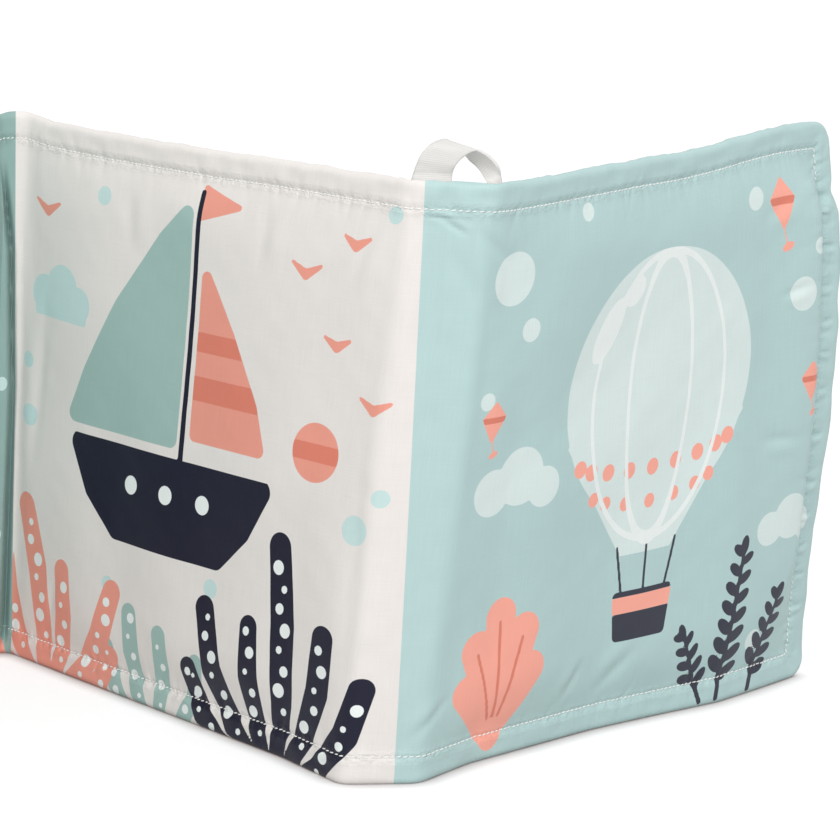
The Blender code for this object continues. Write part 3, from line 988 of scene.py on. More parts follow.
def moon_page(x, y):
    """Page 2: a crescent moon and stars over dotted hills."""
    moon = cut(disc(x, y, 88, 122, 46), disc(x, y, 112, 134, 40))
    stars = []
    for cx, cy, size in (
        (132, 150, 11), (150, 108, 8), (44, 178, 7), (166, 172, 6), (30, 92, 6), (116, 92, 5),
    ):
        corners = []
        for corner in range(10):
            reach = size if corner % 2 else size * 0.45
            angle = corner * math.pi / 5 + math.pi
            corners.append((cx + reach * math.sin(angle), cy + reach * math.cos(angle)))
        stars.append(patch(x, y, corners, 0.8))
    near_hill = dots(x, y, ((174, -10, 32), (146, -14, 40)))
    far_hill = dots(x, y, ((20, -10, 50), (62, -18, 46), (100, -22, 40)))
    specks = dots(x, y, (
        (184, 10, 2.2), (170, 12, 2.2), (160, 6, 2), (150, 16, 2.4), (134, 8, 2), (14, 22, 2.6),
        (34, 12, 2.2), (52, 20, 2.4), (72, 10, 2.2), (94, 8, 2), (24, 34, 2)))
    drops = dots(x, y, (
        (188, 120, 3), (182, 140, 2), (198, 102, 2.6), (197, 46, 3), (20, 140, 4), (60, 60, 3),
        (150, 60, 3)))
    return {
        "pale": join(*stars[1:], drops),
        "coral": join(near_hill, stars[0]),
        "navy": cut(far_hill, near_hill),
        "white": join(moon, within(specks, join(near_hill, far_hill))),
    }


def lighthouse_page(x, y):
    """Page 1: a striped lighthouse on a rock."""
    tower = patch(x, y, ((78, 40), (118, 40), (110, 132), (86, 132)), 1)
    room = patch(x, y, ((88, 136), (108, 136), (108, 152), (88, 152)), 1)
    roof = patch(x, y, ((84, 154), (112, 154), (98, 168)), 2)
    stripes = join(*(within(tower, 8 - np.abs(y - h)) for h in (48, 80, 112)))
    rock = dots(x, y, ((60, -6, 44), (98, -4, 50), (140, -14, 46)))
    sea = dots(x, y, ((10, -14, 40), (188, -12, 44)))
    beam = join(
        patch(x, y, ((112, 140), (112, 148), (180, 166), (180, 122))),
        patch(x, y, ((84, 140), (84, 148), (20, 166), (20, 122))))
    specks = dots(x, y, (
        (50, 22, 2.4), (68, 10, 2), (90, 26, 2.6), (104, 12, 2.2), (124, 18, 2.4), (146, 8, 2),
        (8, 12, 2.2), (24, 6, 2), (184, 14, 2.4), (196, 24, 2), (170, 6, 2)))
    clouds = dots(x, y, (
        (36, 180, 6), (46, 183, 8), (56, 179, 6), (150, 178, 5), (160, 181, 7), (169, 178, 5)))
    return {
        "pale": join(beam, clouds),
        "teal": join(sea, tower),
        "coral": join(stripes, roof),
        "navy": join(rock, cut(room, room - 3)),
        "white": within(specks, join(rock, sea)),
    }


# Where the grounds of the fronts meet, in millimetres from the fold's start and the valley
RIGHT_LINE_FOOT, RIGHT_LINE_SLANT = 16.5, 12.5
VALLEY_LINE_FOOT = 8.0


def front_print(s, z):
    """The inks of the front at each point, and the grounds of pages 2 and 4.

    A ground ends in a straight line from the top to the bottom of its fold.
    """
    x, y = s / MM, z / MM
    share = z / HEIGHT
    right_line = (PAGE_END / MM) + RIGHT_LINE_FOOT - RIGHT_LINE_SLANT * share
    left_line = -right_line
    valley_line = VALLEY_LINE_FOOT * (1 - share)
    far = np.full(s.shape, 999.0)
    found = {f"ink_{ink}": np.full(s.shape, OUTSIDE) for ink in INKS}
    for first, last, shapes, shift in (
        (-far, left_line, lighthouse_page, 400.0),
        (left_line, valley_line, moon_page, 200.0),
        (valley_line, right_line, sailing_page, 0.0),
        (right_line, far, balloon_page, -200.0),
    ):
        own = np.minimum(x - first, last - x)
        near = own > -3.0
        if not near.any():
            continue
        for ink, shape in shapes((x + shift)[near], y[near]).items():
            values = found[f"ink_{ink}"]
            values[near] = np.maximum(values[near], np.minimum(shape, own[near]))
    found["ground_aqua"] = x - right_line
    found["ground_teal"] = np.minimum(x - left_line, valley_line - x)
    return found


def back_print(s, z):
    """The inks of the back: drops, leaves and specks, scattered over a grid."""
    x, y = s / MM, z / MM
    found = {f"ink_{ink}": np.full(s.shape, OUTSIDE) for ink in INKS}
    motifs = (("ink_pale", 5.5, 5.5), ("ink_teal", 8.5, 3.8), ("ink_coral", 2.6, 2.6))
    rng = np.random.default_rng(17)
    for column, cx in enumerate(np.arange(-385, 400, 35.0)):
        for row, cy in enumerate(np.arange(18, 200, 33.0)):
            px, py = cx + rng.uniform(-5, 5), cy + (column % 2) * 16 - 6 + rng.uniform(-4, 4)
            heading = rng.uniform(0, 180)
            ink, length, width = motifs[(column + 2 * row) % 3]
            near = (np.abs(x - px) < 16) & (np.abs(y - py) < 16)
            if near.any():
                shape = oval(x[near], y[near], px, py, length, width, heading)
                found[ink][near] = np.maximum(found[ink][near], shape)
    return found


# Materials


class Nodes:
    """The nodes of a material or a world, with short ways to make and join them."""

    def __init__(self, owner, shader="Principled BSDF"):
        owner.use_nodes = True
        self.owner = owner
        self.tree = owner.node_tree
        self.shader = self.tree.nodes[shader]

    def make(self, kind, **inputs):
        """A node with its sockets set: a value, or another node's socket.

        A key such as n0 is a socket's number, and any other is its name with _ for a space.
        """
        node = self.tree.nodes.new(kind)
        for key, value in inputs.items():
            numbered = key[0] == "n" and key[1:].isdigit()
            self.put(node.inputs[int(key[1:]) if numbered else key.replace("_", " ")], value)
        return node

    def put(self, socket, value):
        """A value, or another node's socket, into a socket."""
        if isinstance(value, bpy.types.NodeSocket):
            self.tree.links.new(value, socket)
        elif hasattr(socket.default_value, "__len__") and not hasattr(value, "__len__"):
            socket.default_value = [value] * len(socket.default_value)
        elif hasattr(value, "__len__") and len(value) == 3 and len(socket.default_value) == 4:
            socket.default_value = (*value, 1.0)
        else:
            socket.default_value = value

    def maths(self, operation, *values):
        """A Math node's result."""
        node = self.make("ShaderNodeMath", **{f"n{i}": value for i, value in enumerate(values)})
        node.operation = operation
        return node.outputs[0]

    def mix(self, factor, first, second):
        """Two colours mixed."""
        node = self.tree.nodes.new("ShaderNodeMix")
        node.data_type = "RGBA"
        for number, value in ((0, factor), (6, first), (7, second)):
            self.put(node.inputs[number], value)
        return node.outputs[2]

    def attribute(self, name):
        """A named value of the mesh."""
        node = self.tree.nodes.new("ShaderNodeAttribute")
        node.attribute_name = name
        return node.outputs["Fac"]

    def mask(self, name, soft=0.11):
        """1 where a signed distance is inside its shape, with a narrow soft edge."""
        distance = self.attribute(name)
        node = self.make("ShaderNodeMapRange", Value=distance, From_Min=-soft, From_Max=soft)
        node.interpolation_type = "SMOOTHSTEP"
        return node.outputs[0]

    def strip_map(self):
        """The place in the map named strip."""
        node = self.tree.nodes.new("ShaderNodeUVMap")
        node.uv_map = "strip"
        return node.outputs[0]

    def place(self):
        """The place in the object's axes."""
        return self.tree.nodes.new("ShaderNodeTexCoord").outputs["Object"]

    def noise(self, vector, scale, detail=2.0, roughness=0.5):
        """A Noise texture's value."""
        settings = {"Scale": scale, "Detail": detail, "Roughness": roughness}
        return self.make("ShaderNodeTexNoise", Vector=vector, **settings).outputs[0]

    def stretched(self, vector, scale):
        """A vector with its axes scaled."""
        return self.make("ShaderNodeMapping", Vector=vector, Scale=scale).outputs[0]

    def bump(self, strength, distance, height, **below):
        """A normal that a height tilts, over the one below it."""
        settings = {"Strength": strength, "Distance": distance, "Height": height}
        return self.make("ShaderNodeBump", **settings, **below).outputs[0]

    def rays(self, *kinds):
        """1 for rays of any of the kinds."""
        paths = self.tree.nodes.new("ShaderNodeLightPath")
        seen = paths.outputs[f"Is {kinds[0]} Ray"]
        for kind in kinds[1:]:
            seen = self.maths("MAXIMUM", seen, paths.outputs[f"Is {kind} Ray"])
        return seen

    def set(self, **values):
        """Sockets of the main shader."""
        for key, value in values.items():
            self.put(self.shader.inputs[key.replace("_", " ")], value)


def cloth_surface(nodes, colour):
    """Fine satin-like weave: streaks along the threads, which are thread tone and a painted satin
    sheen in the colour, soft mottling, a thread bump, sheen.

    Beside the stitched line the cloth is crumpled, by a noise that the attribute pull lets in.
    The map named strip has 0.8 m of the strip across its width, so a scale of 2000 repeats
    every 0.4 mm.
    """
    place = nodes.strip_map()
    streaks = nodes.noise(nodes.stretched(place, (1500.0, 55.0, 1.0)), 1.0, 2.0)
    across = nodes.noise(nodes.stretched(place, (60.0, 1900.0, 1.0)), 1.0, 1.0)
    # Painted sheen: the streaks lighten and darken the colour along the threads, as thread tone and as
    # the satin's sheen streaks
    shade = nodes.maths("MULTIPLY_ADD", streaks, 0.085, 0.9575)
    fine = nodes.maths("MULTIPLY_ADD", across, 0.05, 0.975)
    broad = nodes.maths("MULTIPLY_ADD", nodes.noise(place, 26.0, 3.0), 0.06, 0.97)
    tone = nodes.maths("MULTIPLY", nodes.maths("MULTIPLY", shade, fine), broad)
    toned = nodes.make("ShaderNodeVectorMath", n0=colour)
    toned.operation = "SCALE"
    nodes.put(toned.inputs["Scale"], tone)
    thread = nodes.maths("ADD", streaks, nodes.maths("MULTIPLY", across, 0.7))
    crumple = nodes.maths("MULTIPLY", nodes.noise(place, 520.0, 2.0, 0.6), nodes.attribute("pull"))
    gathers = nodes.bump(0.8, 1.1 * MM, crumple)
    nodes.set(
        Base_Color=toned.outputs[0], Roughness=0.52, Sheen_Weight=0.12, Sheen_Roughness=0.45,
        Specular_IOR_Level=0.32, Normal=nodes.bump(0.30, 0.10 * MM, thread, Normal=gathers))


def cloth_material(word):
    """Printed cloth, its inks over its ground. The front's ground goes from page to page."""
    look = colours()
    nodes = Nodes(bpy.data.materials.new(f"printed_{word}_cloth"))
    if word == "front":
        on_aqua = nodes.mask("ground_aqua")
        colour = nodes.mix(on_aqua, look.off_white, look.aqua)
        colour = nodes.mix(nodes.mask("ground_teal"), colour, look.teal)
        inks = (
            ("pale", nodes.mix(on_aqua, look.pale, look.pale_on_aqua)),
            ("teal", look.teal_ink),
            ("coral", nodes.mix(on_aqua, look.coral, look.coral_on_aqua)),
            ("rust", look.rust),
            ("navy", nodes.mix(on_aqua, look.navy, look.navy_on_aqua)),
            ("white", look.white_ink),
        )
    else:
        colour = look.backing
        inks = (("pale", look.pale), ("teal", look.teal_ink), ("coral", look.coral))
    for ink, value in inks:
        colour = nodes.mix(nodes.mask(f"ink_{ink}"), colour, value)
    cloth_surface(nodes, colour)
    return nodes.owner


def thread_material():
    """Twisted polyester thread, with a fine bump along it."""
    look = colours()
    nodes = Nodes(bpy.data.materials.new("sewing_thread"))
    twist = nodes.noise(nodes.place(), 2600.0, 1.0)
    tone = nodes.mix(nodes.maths("MULTIPLY", twist, 0.2), look.thread, look.thread_shade)
    bump = nodes.bump(0.3, 0.1 * MM, twist)
    nodes.set(Base_Color=tone, Roughness=0.5, Sheen_Weight=0.1, Normal=bump)
    return nodes.owner


def webbing_material():
    """Ribbed webbing: ribs across it, from its own map, with painted shade between the ribs, over a
    fine thread grain.
    """
    look = colours()
    nodes = Nodes(bpy.data.materials.new("ribbed_webbing"))
    place = nodes.strip_map()
    grain = nodes.noise(nodes.stretched(place, (300.0, 40.0, 1.0)), 1.0, 2.0)
    along = nodes.make("ShaderNodeSeparateXYZ", Vector=place).outputs[0]
    turn = nodes.maths("MULTIPLY", along, 2 * math.pi / (RIB_PITCH * RIBBON_MAP_SCALE))
    ridge = nodes.maths("MULTIPLY_ADD", nodes.maths("COSINE", turn), 0.5, 0.5)
    # Painted shade: the colour darkens between the ribs as if the grooves were shaded; the grain adds
    # random thread tone
    shade = nodes.maths("MULTIPLY", nodes.maths("SUBTRACT", 1.0, ridge), 0.30)
    shade = nodes.maths("ADD", shade, nodes.maths("MULTIPLY", grain, 0.16))
    nodes.set(
        Base_Color=nodes.mix(shade, look.webbing, look.webbing_rib_shade_and_grain), Roughness=0.6,
        Sheen_Weight=0.2, Subsurface_Weight=0.5, Subsurface_Scale=4 * MM,
        Subsurface_Radius=(1.0, 1.0, 1.0), Normal=nodes.bump(0.25, 0.1 * MM, grain))
    return nodes.owner


def wadding_material():
    """Matt fibre wadding with a woolly bump."""
    look = colours()
    nodes = Nodes(bpy.data.materials.new("wadding_fibre"))
    wool = nodes.noise(nodes.place(), 900.0, 4.0, 0.7)
    tone = nodes.mix(nodes.maths("MULTIPLY", wool, 0.3), look.wadding, look.wadding_shade)
    bump = nodes.bump(0.6, 0.6 * MM, wool)
    nodes.set(Base_Color=tone, Roughness=0.95, Sheen_Weight=0.3, Normal=bump)
    return nodes.owner


# Pieces

# How far the cloth that bends reaches into a page beside an outer fold and beside the middle one
PAGE_MARGIN = 10.0 * MM
VALLEY_MARGIN = 8.0 * MM
# The wadding's grid step, and how far inside the stitched line it ends
PILLOW_STEP = 4.0 * MM
PILLOW_INSET = 3.0 * MM


def page_spans():
    """Page number, and where its cloth starts and ends along the strip."""
    inner = PAGE_START + VALLEY_MARGIN, PAGE_END - PAGE_MARGIN
    end = END_PAGE_START + PAGE_MARGIN, LENGTH
    return (1, -end[1], -end[0]), (2, -inner[1], -inner[0]), (3, *inner), (4, *end)


def fold_spans():
    """Fold number, side of it, its two bodies, and where its cloth starts and ends."""
    return (
        (1, "left", "page_1", "fold_1", -END_PAGE_START - PAGE_MARGIN, -FOLD_CENTRE),
        (1, "right", "fold_1", "page_2", -FOLD_CENTRE, -PAGE_END + PAGE_MARGIN),
        (2, "left", "page_2", "fold_2", -PAGE_START - VALLEY_MARGIN, 0.0),
        (2, "right", "fold_2", "page_3", 0.0, PAGE_START + VALLEY_MARGIN),
        (3, "left", "page_3", "fold_3", PAGE_END - PAGE_MARGIN, FOLD_CENTRE),
        (3, "right", "fold_3", "page_4", FOLD_CENTRE, END_PAGE_START + PAGE_MARGIN),
    )


def bend_points(strip, first, last):
    """Where the bend of a fold's cloth starts and ends.

    The bend runs square to the strip's own line half way along the piece, which may lean. It
    starts past every point of the piece's first border and ends before any of its last.
    """
    up = np.linspace(0, HEIGHT, 21)
    middle, _ = strip.middle(np.full(2, (first + last) / 2), np.array((0.0, HEIGHT)))
    centre = middle.mean(0)
    line = unit(middle[1] - middle[0])
    ends = []
    for s in (first, last):
        at = np.full(up.shape, s)
        ends.append(np.concatenate([strip.surface(at, up, face) for face in (FRONT, BACK)]))
    heading = ends[1].mean(0) - ends[0].mean(0)
    heading = unit(heading - line * (heading @ line))
    start = ((ends[0] - centre) @ heading).max() + 0.1 * MM
    stop = ((ends[1] - centre) @ heading).min() - 0.1 * MM
    return tuple(centre + heading * start), tuple(centre + heading * stop)


class CRIBBOOK_OT_wadding(bpy.types.Operator):
    """Put a flat pillow of fibre wadding inside each page"""

    bl_idname = "cribbook.wadding"
    bl_label = "Wadding"

    def execute(self, context):
        strip = the_strip()
        material = wadding_material()
        inset = sizes().seam_inset + PILLOW_INSET
        rows = even(inset, HEIGHT - inset, PILLOW_STEP)
        for number, first, last in page_spans():
            first += inset if free(first) else 1 * MM
            last -= inset if free(last) else 1 * MM
            s, z = np.meshgrid(even(first, last, PILLOW_STEP), rows, indexing="ij")
            point, normal = strip.middle(s, z)
            rim = np.minimum.reduce((s - first, last - s, z - rows[0], rows[-1] - z))
            grids = []
            for face in (FRONT, BACK):
                room = strip.outer_half(s, z, face) - CLOTH - 0.4 * MM
                half = np.where(rim < MM, 0.2 * MM, np.maximum(room, 0.25 * MM))
                grids.append(point + normal * (face * half)[..., None])
            quads = shell_quads(*s.shape)
            piece = new_piece(f"wadding_{number}_fibre", listed(*grids), quads, material)
            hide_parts(f"wadding_{number}")
            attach(piece, f"page_{number}")
        return {"FINISHED"}


# Grid steps of the cloths that the camera sees from near and of the others
FINE_STEP = 0.9 * MM
PLAIN_STEP = 1.5 * MM
FACES = ((FRONT, "front"), (BACK, "back"))


class CRIBBOOK_OT_pages(bpy.types.Operator):
    """Make the front and the back cloth of the four pages"""

    bl_idname = "cribbook.pages"
    bl_label = "Page cloths"

    def execute(self, context):
        strip = the_strip()
        for face, word in FACES:
            material = cloth_material(word)
            for number, first, last in page_spans():
                step = FINE_STEP if face == FRONT and number > 2 else PLAIN_STEP
                name = f"{word}_cover_{number}"
                columns, rows = columns_of(first, last, step), rows_of(step)
                piece = cloth_piece(strip, f"{name}_cloth", columns, rows, face, material)
                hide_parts(name)
                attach(piece, f"page_{number}")
        return {"FINISHED"}


class CRIBBOOK_OT_folds(bpy.types.Operator):
    """Make the cloth of the three folds"""

    bl_idname = "cribbook.folds"
    bl_label = "Fold cloths"

    def execute(self, context):
        strip = the_strip()
        for number, side, body, next_body, first, last in fold_spans():
            start, stop = bend_points(strip, first, last)
            for face, word in FACES:
                name = f"fold_{number}_{word}_cloth"
                step = FINE_STEP if face == FRONT and number > 1 else PLAIN_STEP
                material = bpy.data.materials[f"printed_{word}_cloth"]
                columns, rows = even(first, last, FINE_STEP), rows_of(step)
                piece = cloth_piece(strip, f"{name}_{side}", columns, rows, face, material)
                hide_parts(name)
                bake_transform(piece)
        return {"FINISHED"}


def seam_line(first, last):
    """The stitched line's course over one stretch of the strip, as runs of (s, z) ends."""
    inset = sizes().seam_inset
    left, right = max(first, inset - LENGTH), min(last, LENGTH - inset)
    runs = [((left, HEIGHT - inset), (right, HEIGHT - inset)), ((left, inset), (right, inset))]
    if free(last):
        runs.append(((LENGTH - inset, inset), (LENGTH - inset, HEIGHT - inset)))
    if free(first):
        runs.append(((inset - LENGTH, inset), (inset - LENGTH, HEIGHT - inset)))
    return runs


def stitches(strip, name, first, last, material):
    """The stitches of one stretch, front and back.

    Each is a tube of five rings round a low arch. share says where the rings stand along the
    stitch, lift how high their centres lie off the cloth, and radius how wide they are. Every
    stitch lies a little askew, and its length varies.
    """
    book = sizes()
    share = np.array((0.0, 0.16, 0.5, 0.84, 1.0))
    lift = np.array((-0.16, 0.10, 0.17, 0.10, -0.16)) * MM
    radius = book.thread_radius * np.array((0.35, 0.9, 1.0, 0.9, 0.35))
    sides = 6
    around = np.linspace(0, 2 * math.pi, sides, endpoint=False)
    cos, sin = np.cos(around)[:, None], np.sin(around)[:, None]
    rng = np.random.default_rng(int(round(1000 * (first + 1))))
    points = []
    for (s0, z0), (s1, z1) in seam_line(first, last):
        length = math.hypot(s1 - s0, z1 - z0)
        count = max(1, int(round(length / book.stitch_pitch)))
        centre = (np.arange(count) + 0.5) / count
        reach = book.stitch_length / length
        at = centre[:, None] + (share - 0.5) * reach * rng.uniform(0.94, 1.06, (count, 1))
        slant = rng.uniform(0.10, 0.22, (count, 1)) * MM * (share - 0.5) * 2
        du, dv = (s1 - s0) / length, (z1 - z0) / length
        s = s0 + (s1 - s0) * at - dv * slant
        z = z0 + (z1 - z0) * at + du * slant
        for face in (FRONT, BACK):
            line = strip.surface(s, z, face, lift)
            _, normal = strip.middle(s, z)
            normal = normal * face
            along = np.gradient(line, axis=1)
            along /= np.linalg.norm(along, axis=-1, keepdims=True)
            aside = np.cross(along, normal)
            ring = aside[:, :, None] * cos + normal[:, :, None] * sin
            points.append(line[:, :, None] + ring * radius[:, None, None])
    points = np.concatenate(points)
    j, k = np.meshgrid(np.arange(len(share) - 1), np.arange(sides), indexing="ij")
    a, b = j * sides + k, j * sides + (k + 1) % sides
    tube = np.stack((a, a + sides, b + sides, b), -1).reshape(-1, 4)
    caps = np.array(((0, 1, 2, 3), (0, 3, 4, 5), (27, 26, 25, 24), (29, 28, 27, 24)))
    one = np.concatenate((tube, caps))
    starts = np.arange(len(points)) * len(share) * sides
    quads = (one + starts[:, None, None]).reshape(-1, 4)
    return new_piece(name, points.reshape(-1, 3), quads, material)


class CRIBBOOK_OT_thread(bpy.types.Operator):
    """Sew the line of stitches all round, on the front and on the back"""

    bl_idname = "cribbook.thread"
    bl_label = "Sewing thread"

    def execute(self, context):
        strip = the_strip()
        material = thread_material()
        for number, first, last in page_spans():
            piece = stitches(strip, f"thread_page_{number}", first, last, material)
            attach(piece, f"page_{number}")
        for number, side, body, next_body, first, last in fold_spans():
            start, stop = bend_points(strip, first, last)
            piece = stitches(strip, f"thread_fold_{number}_{side}", first, last, material)
            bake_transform(piece)
        return {"FINISHED"}


# A webbing loop: half the width of its mouth, how far that stands off the fold's centre, the
# height of its legs, the rise of its round over them, and how far it stands to the front
LOOP_MOUTH_HALF = 7.6 * MM
LOOP_MOUTH_SHIFT = 7.2 * MM
LOOP_LEG = 2.8 * MM
LOOP_RISE = 8.4 * MM
LOOP_LEAN = 1.0 * MM
# How deep its ends are sewn in, and how far its seam lies under the book's top edge
LOOP_TUCK = 4.0 * MM
LOOP_SEAM_DEPTH = 0.9 * MM
WEBBING_WIDTH = 12.4 * MM
# Half its thickness between the ribs, and how much its ribs and its selvedges add
WEBBING_HALF = 0.30 * MM
RIB_RISE = 0.07 * MM
SELVEDGE_RISE = 0.10 * MM
RIB_PITCH = 0.70 * MM
# Widths of the webbing's map to a metre of it
RIBBON_MAP_SCALE = 10.0


def ribbon_point(along, across):
    """A point of the webbing's middle surface, in the seam's frame.

    along is 0 and 1 where the half round starts and ends, and past them in the legs. The near
    edge runs up one leg, over the half round and down the other. The width points away from it,
    in a heading that swings from 161 to 169 and then to 115 degrees, rising before the crown and
    dropping after it, so that the front shows the outside of the left leg and the inside of the
    right one.
    """
    station = np.clip(along, 0.0, 1.0)
    leg = np.clip(-along, 0, None) + np.clip(along - 1, 0, None)
    round_angle = math.pi * station
    height = LOOP_LEG + LOOP_RISE * np.sin(round_angle) - leg * (LOOP_LEG + LOOP_TUCK)
    swing = np.cos(round_angle)
    across_mouth = -np.sign(swing) * np.abs(swing) ** 1.5 * LOOP_MOUTH_HALF
    near = np.stack((across_mouth, np.full_like(along, -LOOP_LEAN), height), -1)
    heading = np.radians(161 + 8 * ease(station / 0.15) - 54 * ease((station - 0.28) / 0.36))
    lift = np.radians(10 * ease(station / 0.33) - 29 * ease((station - 0.42) / 0.25))
    level = np.cos(lift)
    outward = np.stack((np.cos(heading) * level, np.sin(heading) * level, np.sin(lift)), -1)
    point = near + outward * (across * WEBBING_WIDTH)[..., None]
    point[..., 1] *= ease(point[..., 2] / (6 * MM))
    point[..., 0] += LOOP_MOUTH_SHIFT
    return point


class CRIBBOOK_OT_loops(bpy.types.Operator):
    """Make the two ribbed webbing loops, sewn into the top seam at the outer folds"""

    bl_idname = "cribbook.loops"
    bl_label = "Webbing loops"

    def execute(self, context):
        strip = the_strip()
        material = webbing_material()
        t, w = np.meshgrid(np.linspace(-1.0, 2.0, 241), np.linspace(0, 1, 15), indexing="ij")
        flat = ribbon_point(t, w)
        normal = np.cross(np.gradient(flat, axis=0), np.gradient(flat, axis=1))
        normal /= np.maximum(np.linalg.norm(normal, axis=-1, keepdims=True), 1e-9)
        steps = np.linalg.norm(np.diff(flat[:, 7], axis=0), axis=1)
        distance = np.concatenate(((0.0,), np.cumsum(steps)))[:, None]
        inside = ease(np.minimum(w, 1 - w) * WEBBING_WIDTH / (0.5 * MM))
        rib = 0.5 + 0.5 * np.cos(2 * math.pi * distance / RIB_PITCH)
        half = WEBBING_HALF + RIB_RISE * rib * inside + SELVEDGE_RISE * (1 - inside)
        uv = np.stack((distance * RIBBON_MAP_SCALE + 0 * w, w), -1)
        for number, fold, side in ((1, 1, -1), (2, 3, 1)):
            centre = side * FOLD_CENTRE
            place, _ = strip.middle(np.array([centre]), np.array([HEIGHT]))
            near, _ = strip.middle(np.array([centre + MM, centre - MM]), np.full(2, HEIGHT))
            axis = unit((near[0] - near[1]) * (1, 1, 0))
            back = np.array((-axis[1], axis[0], 0.0))
            axes = np.stack((side * axis, back, (0.0, 0.0, 1.0)))
            origin = place[0] - (0, 0, LOOP_SEAM_DEPTH)
            grids = []
            for sign in (1, -1):
                straight = origin + (flat + normal * (sign * half)[..., None]) @ axes
                foot = centre + side * flat[..., 0]
                depth = np.minimum(flat[..., 2], 0.0) - LOOP_SEAM_DEPTH
                seated, front = strip.middle(foot, HEIGHT + depth)
                seated = seated + front * (-sign * side * half)[..., None]
                seated[..., 2] += np.maximum(flat[..., 2], 0.0)
                rise = ease(flat[..., 2:] / (7 * MM))
                grids.append(seated + (straight - seated) * rise)
            quads = shell_quads(*t.shape)
            if side < 0:
                quads = quads[:, ::-1]
            piece = new_piece(
                f"webbing_loop_{number}_ribbon", listed(*grids), quads, material, uv=listed(uv, uv))
            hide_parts(f"webbing_loop_{number}")
            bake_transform(piece)
        return {"FINISHED"}


# Stage

CAMERA_PLACE = (-0.0007, -1.290, 0.3969)
CAMERA_TURN = (6.464, 13.431, 1.503)
CAMERA_LENS = 158.04
SOFTBOX_SIZE = (1.8, 1.2)
SOFTBOX_PLACE = (0.0, -1.85, 1.10)
SOFTBOX_AIM = (0.12, 0.0, 0.1)
FLOOR_REACH = 8.0


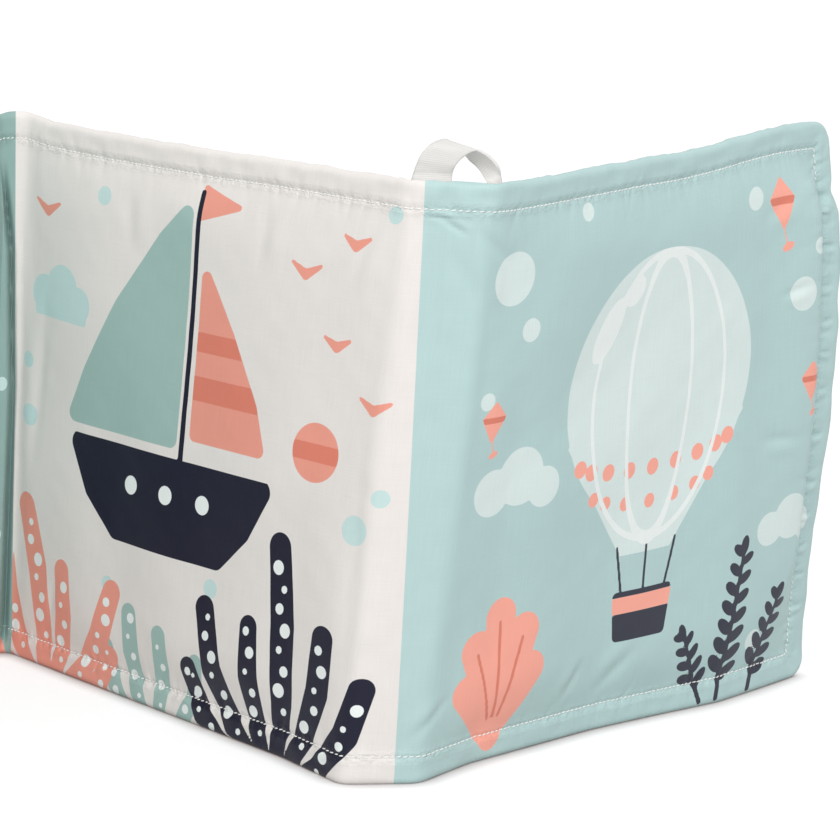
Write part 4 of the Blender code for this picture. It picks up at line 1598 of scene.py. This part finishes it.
class CRIBBOOK_OT_stage(bpy.types.Operator):
    """Set up the floor, the light and the camera"""

    bl_idname = "cribbook.stage"
    bl_label = "Stage"

    def execute(self, context):
        scene = context.scene
        look = scene.crib_book_stage
        scene.view_settings.view_transform = "Standard"
        self.add_floor(scene, look)
        self.add_light(scene, look)
        self.add_camera(scene)
        return {"FINISHED"}

    def add_floor(self, scene, look):
        """A wide level floor that the camera sees as white, with the object's shadow on it.

        It glows a little for the camera, less and browner where the book stands close over it: a
        painted contact shadow, from an ambient occlusion node.
        """
        far = FLOOR_REACH
        corners = ((-far, -far, 0), (far, -far, 0), (far, far, 0), (-far, far, 0))
        nodes = Nodes(bpy.data.materials.new("studio_floor"))
        seen = nodes.rays("Camera", "Glossy", "Transmission")
        ground = nodes.mix(seen, look.floor_bounce, look.floor)
        nodes.set(Base_Color=ground, Roughness=0.9, Specular_IOR_Level=0.1)
        # Painted contact shadow: the camera's glow darkens to the contact colour where the book stands
        # close
        near = nodes.make("ShaderNodeAmbientOcclusion", Distance=look.contact_reach)
        near.samples = 12
        open_share = nodes.make(
            "ShaderNodeMapRange", Value=near.outputs["AO"], From_Min=0.25, From_Max=0.95)
        painted_contact_shadow = nodes.mix(open_share.outputs[0], look.contact, (1.0, 1.0, 1.0))
        strength = nodes.maths("MULTIPLY", seen, look.glow)
        glow = nodes.make("ShaderNodeEmission", Color=painted_contact_shadow, Strength=strength)
        both = nodes.make("ShaderNodeAddShader", n0=nodes.shader.outputs[0], n1=glow.outputs[0])
        nodes.put(nodes.tree.nodes["Material Output"].inputs["Surface"], both.outputs[0])
        quad = np.array(((0, 1, 2, 3),))
        floor = new_piece("studio_floor", np.array(corners), quad, nodes.owner)

    def add_light(self, scene, look):
        """A large soft lamp in front and above, and even light all round; the camera sees white."""
        lamp = bpy.data.lights.new("front_softbox", "AREA")
        lamp.shape = "RECTANGLE"
        lamp.size, lamp.size_y = SOFTBOX_SIZE
        lamp.energy = look.lamp_power
        holder = bpy.data.objects.new("front_softbox", lamp)
        holder.location = SOFTBOX_PLACE
        away = holder.location - Vector(SOFTBOX_AIM)
        holder.rotation_euler = away.to_track_quat("Z", "Y").to_euler()
        scene.collection.objects.link(holder)
        scene.world = bpy.data.worlds.new("studio_surround")
        nodes = Nodes(scene.world, "Background")
        level = nodes.make(
            "ShaderNodeMapRange", Value=nodes.rays("Camera", "Transmission"), To_Min=look.sky)
        nodes.set(Color=(1.0, 1.0, 1.0), Strength=level.outputs[0])

    def add_camera(self, scene):
        """The camera, fitted to the corners that the photograph shows."""
        data = bpy.data.cameras.new("camera")
        data.sensor_width = 36.0
        data.lens = CAMERA_LENS
        data.clip_start, data.clip_end = 0.05, 50.0
        yaw, pitch, roll = (math.radians(angle) for angle in CAMERA_TURN)
        level = np.array((math.cos(yaw), -math.sin(yaw), 0.0))
        onward = np.array((math.sin(yaw), math.cos(yaw), 0.0))
        forward = math.cos(pitch) * onward - (0.0, 0.0, math.sin(pitch))
        above = np.cross(level, forward)
        right = math.cos(roll) * level + math.sin(roll) * above
        up = -math.sin(roll) * level + math.cos(roll) * above
        camera = bpy.data.objects.new("camera", data)
        valley = JOINTS["middle_fold_right"]["pos_m"][1] + FLAT_HALF
        place = np.array(CAMERA_PLACE) + (0.0, valley, 0.0)
        rows = np.stack((right, up, -forward, place), 1)
        camera.matrix_world = Matrix((*rows.tolist(), (0.0, 0.0, 0.0, 1.0)))
        scene.collection.objects.link(camera)
        scene.camera = camera


STRIPS = []


def the_strip():
    """The strip for the sizes as they stand, worked out once."""
    if not STRIPS:
        STRIPS.append(Strip())
    return STRIPS[0]


OPERATORS = (
    CRIBBOOK_OT_wadding,
    CRIBBOOK_OT_pages,
    CRIBBOOK_OT_folds,
    CRIBBOOK_OT_thread,
    CRIBBOOK_OT_loops,
    CRIBBOOK_OT_stage,
)


class CRIBBOOK_PT_panel(bpy.types.Panel):
    """The book's settings and pieces"""

    bl_idname = "CRIBBOOK_PT_panel"
    bl_label = "Soft Crib Book"
    bl_space_type = "VIEW_3D"
    bl_region_type = "UI"
    bl_category = "Crib Book"

    def draw(self, context):
        scene = context.scene
        for group in (scene.crib_book_sizes, scene.crib_book_colours, scene.crib_book_stage):
            box = self.layout.box()
            for name in group.bl_rna.properties.keys():
                if name not in ("rna_type", "name"):
                    box.prop(group, name)
        for operator in OPERATORS:
            self.layout.operator(operator.bl_idname)


CLASSES = (BookSizes, BookColours, StageLook, *OPERATORS, CRIBBOOK_PT_panel)


def register():
    for cls in CLASSES:
        bpy.utils.register_class(cls)
    bpy.types.Scene.crib_book_sizes = bpy.props.PointerProperty(type=BookSizes)
    bpy.types.Scene.crib_book_colours = bpy.props.PointerProperty(type=BookColours)
    bpy.types.Scene.crib_book_stage = bpy.props.PointerProperty(type=StageLook)


def unregister():
    del bpy.types.Scene.crib_book_stage
    del bpy.types.Scene.crib_book_colours
    del bpy.types.Scene.crib_book_sizes
    for cls in reversed(CLASSES):
        bpy.utils.unregister_class(cls)


def main():
    """Register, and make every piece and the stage."""
    register()
    for operator in OPERATORS:
        group, name = operator.bl_idname.split(".")
        getattr(getattr(bpy.ops, group), name)()
    bpy.context.view_layer.update()


if __name__ == "__main__":
    main()
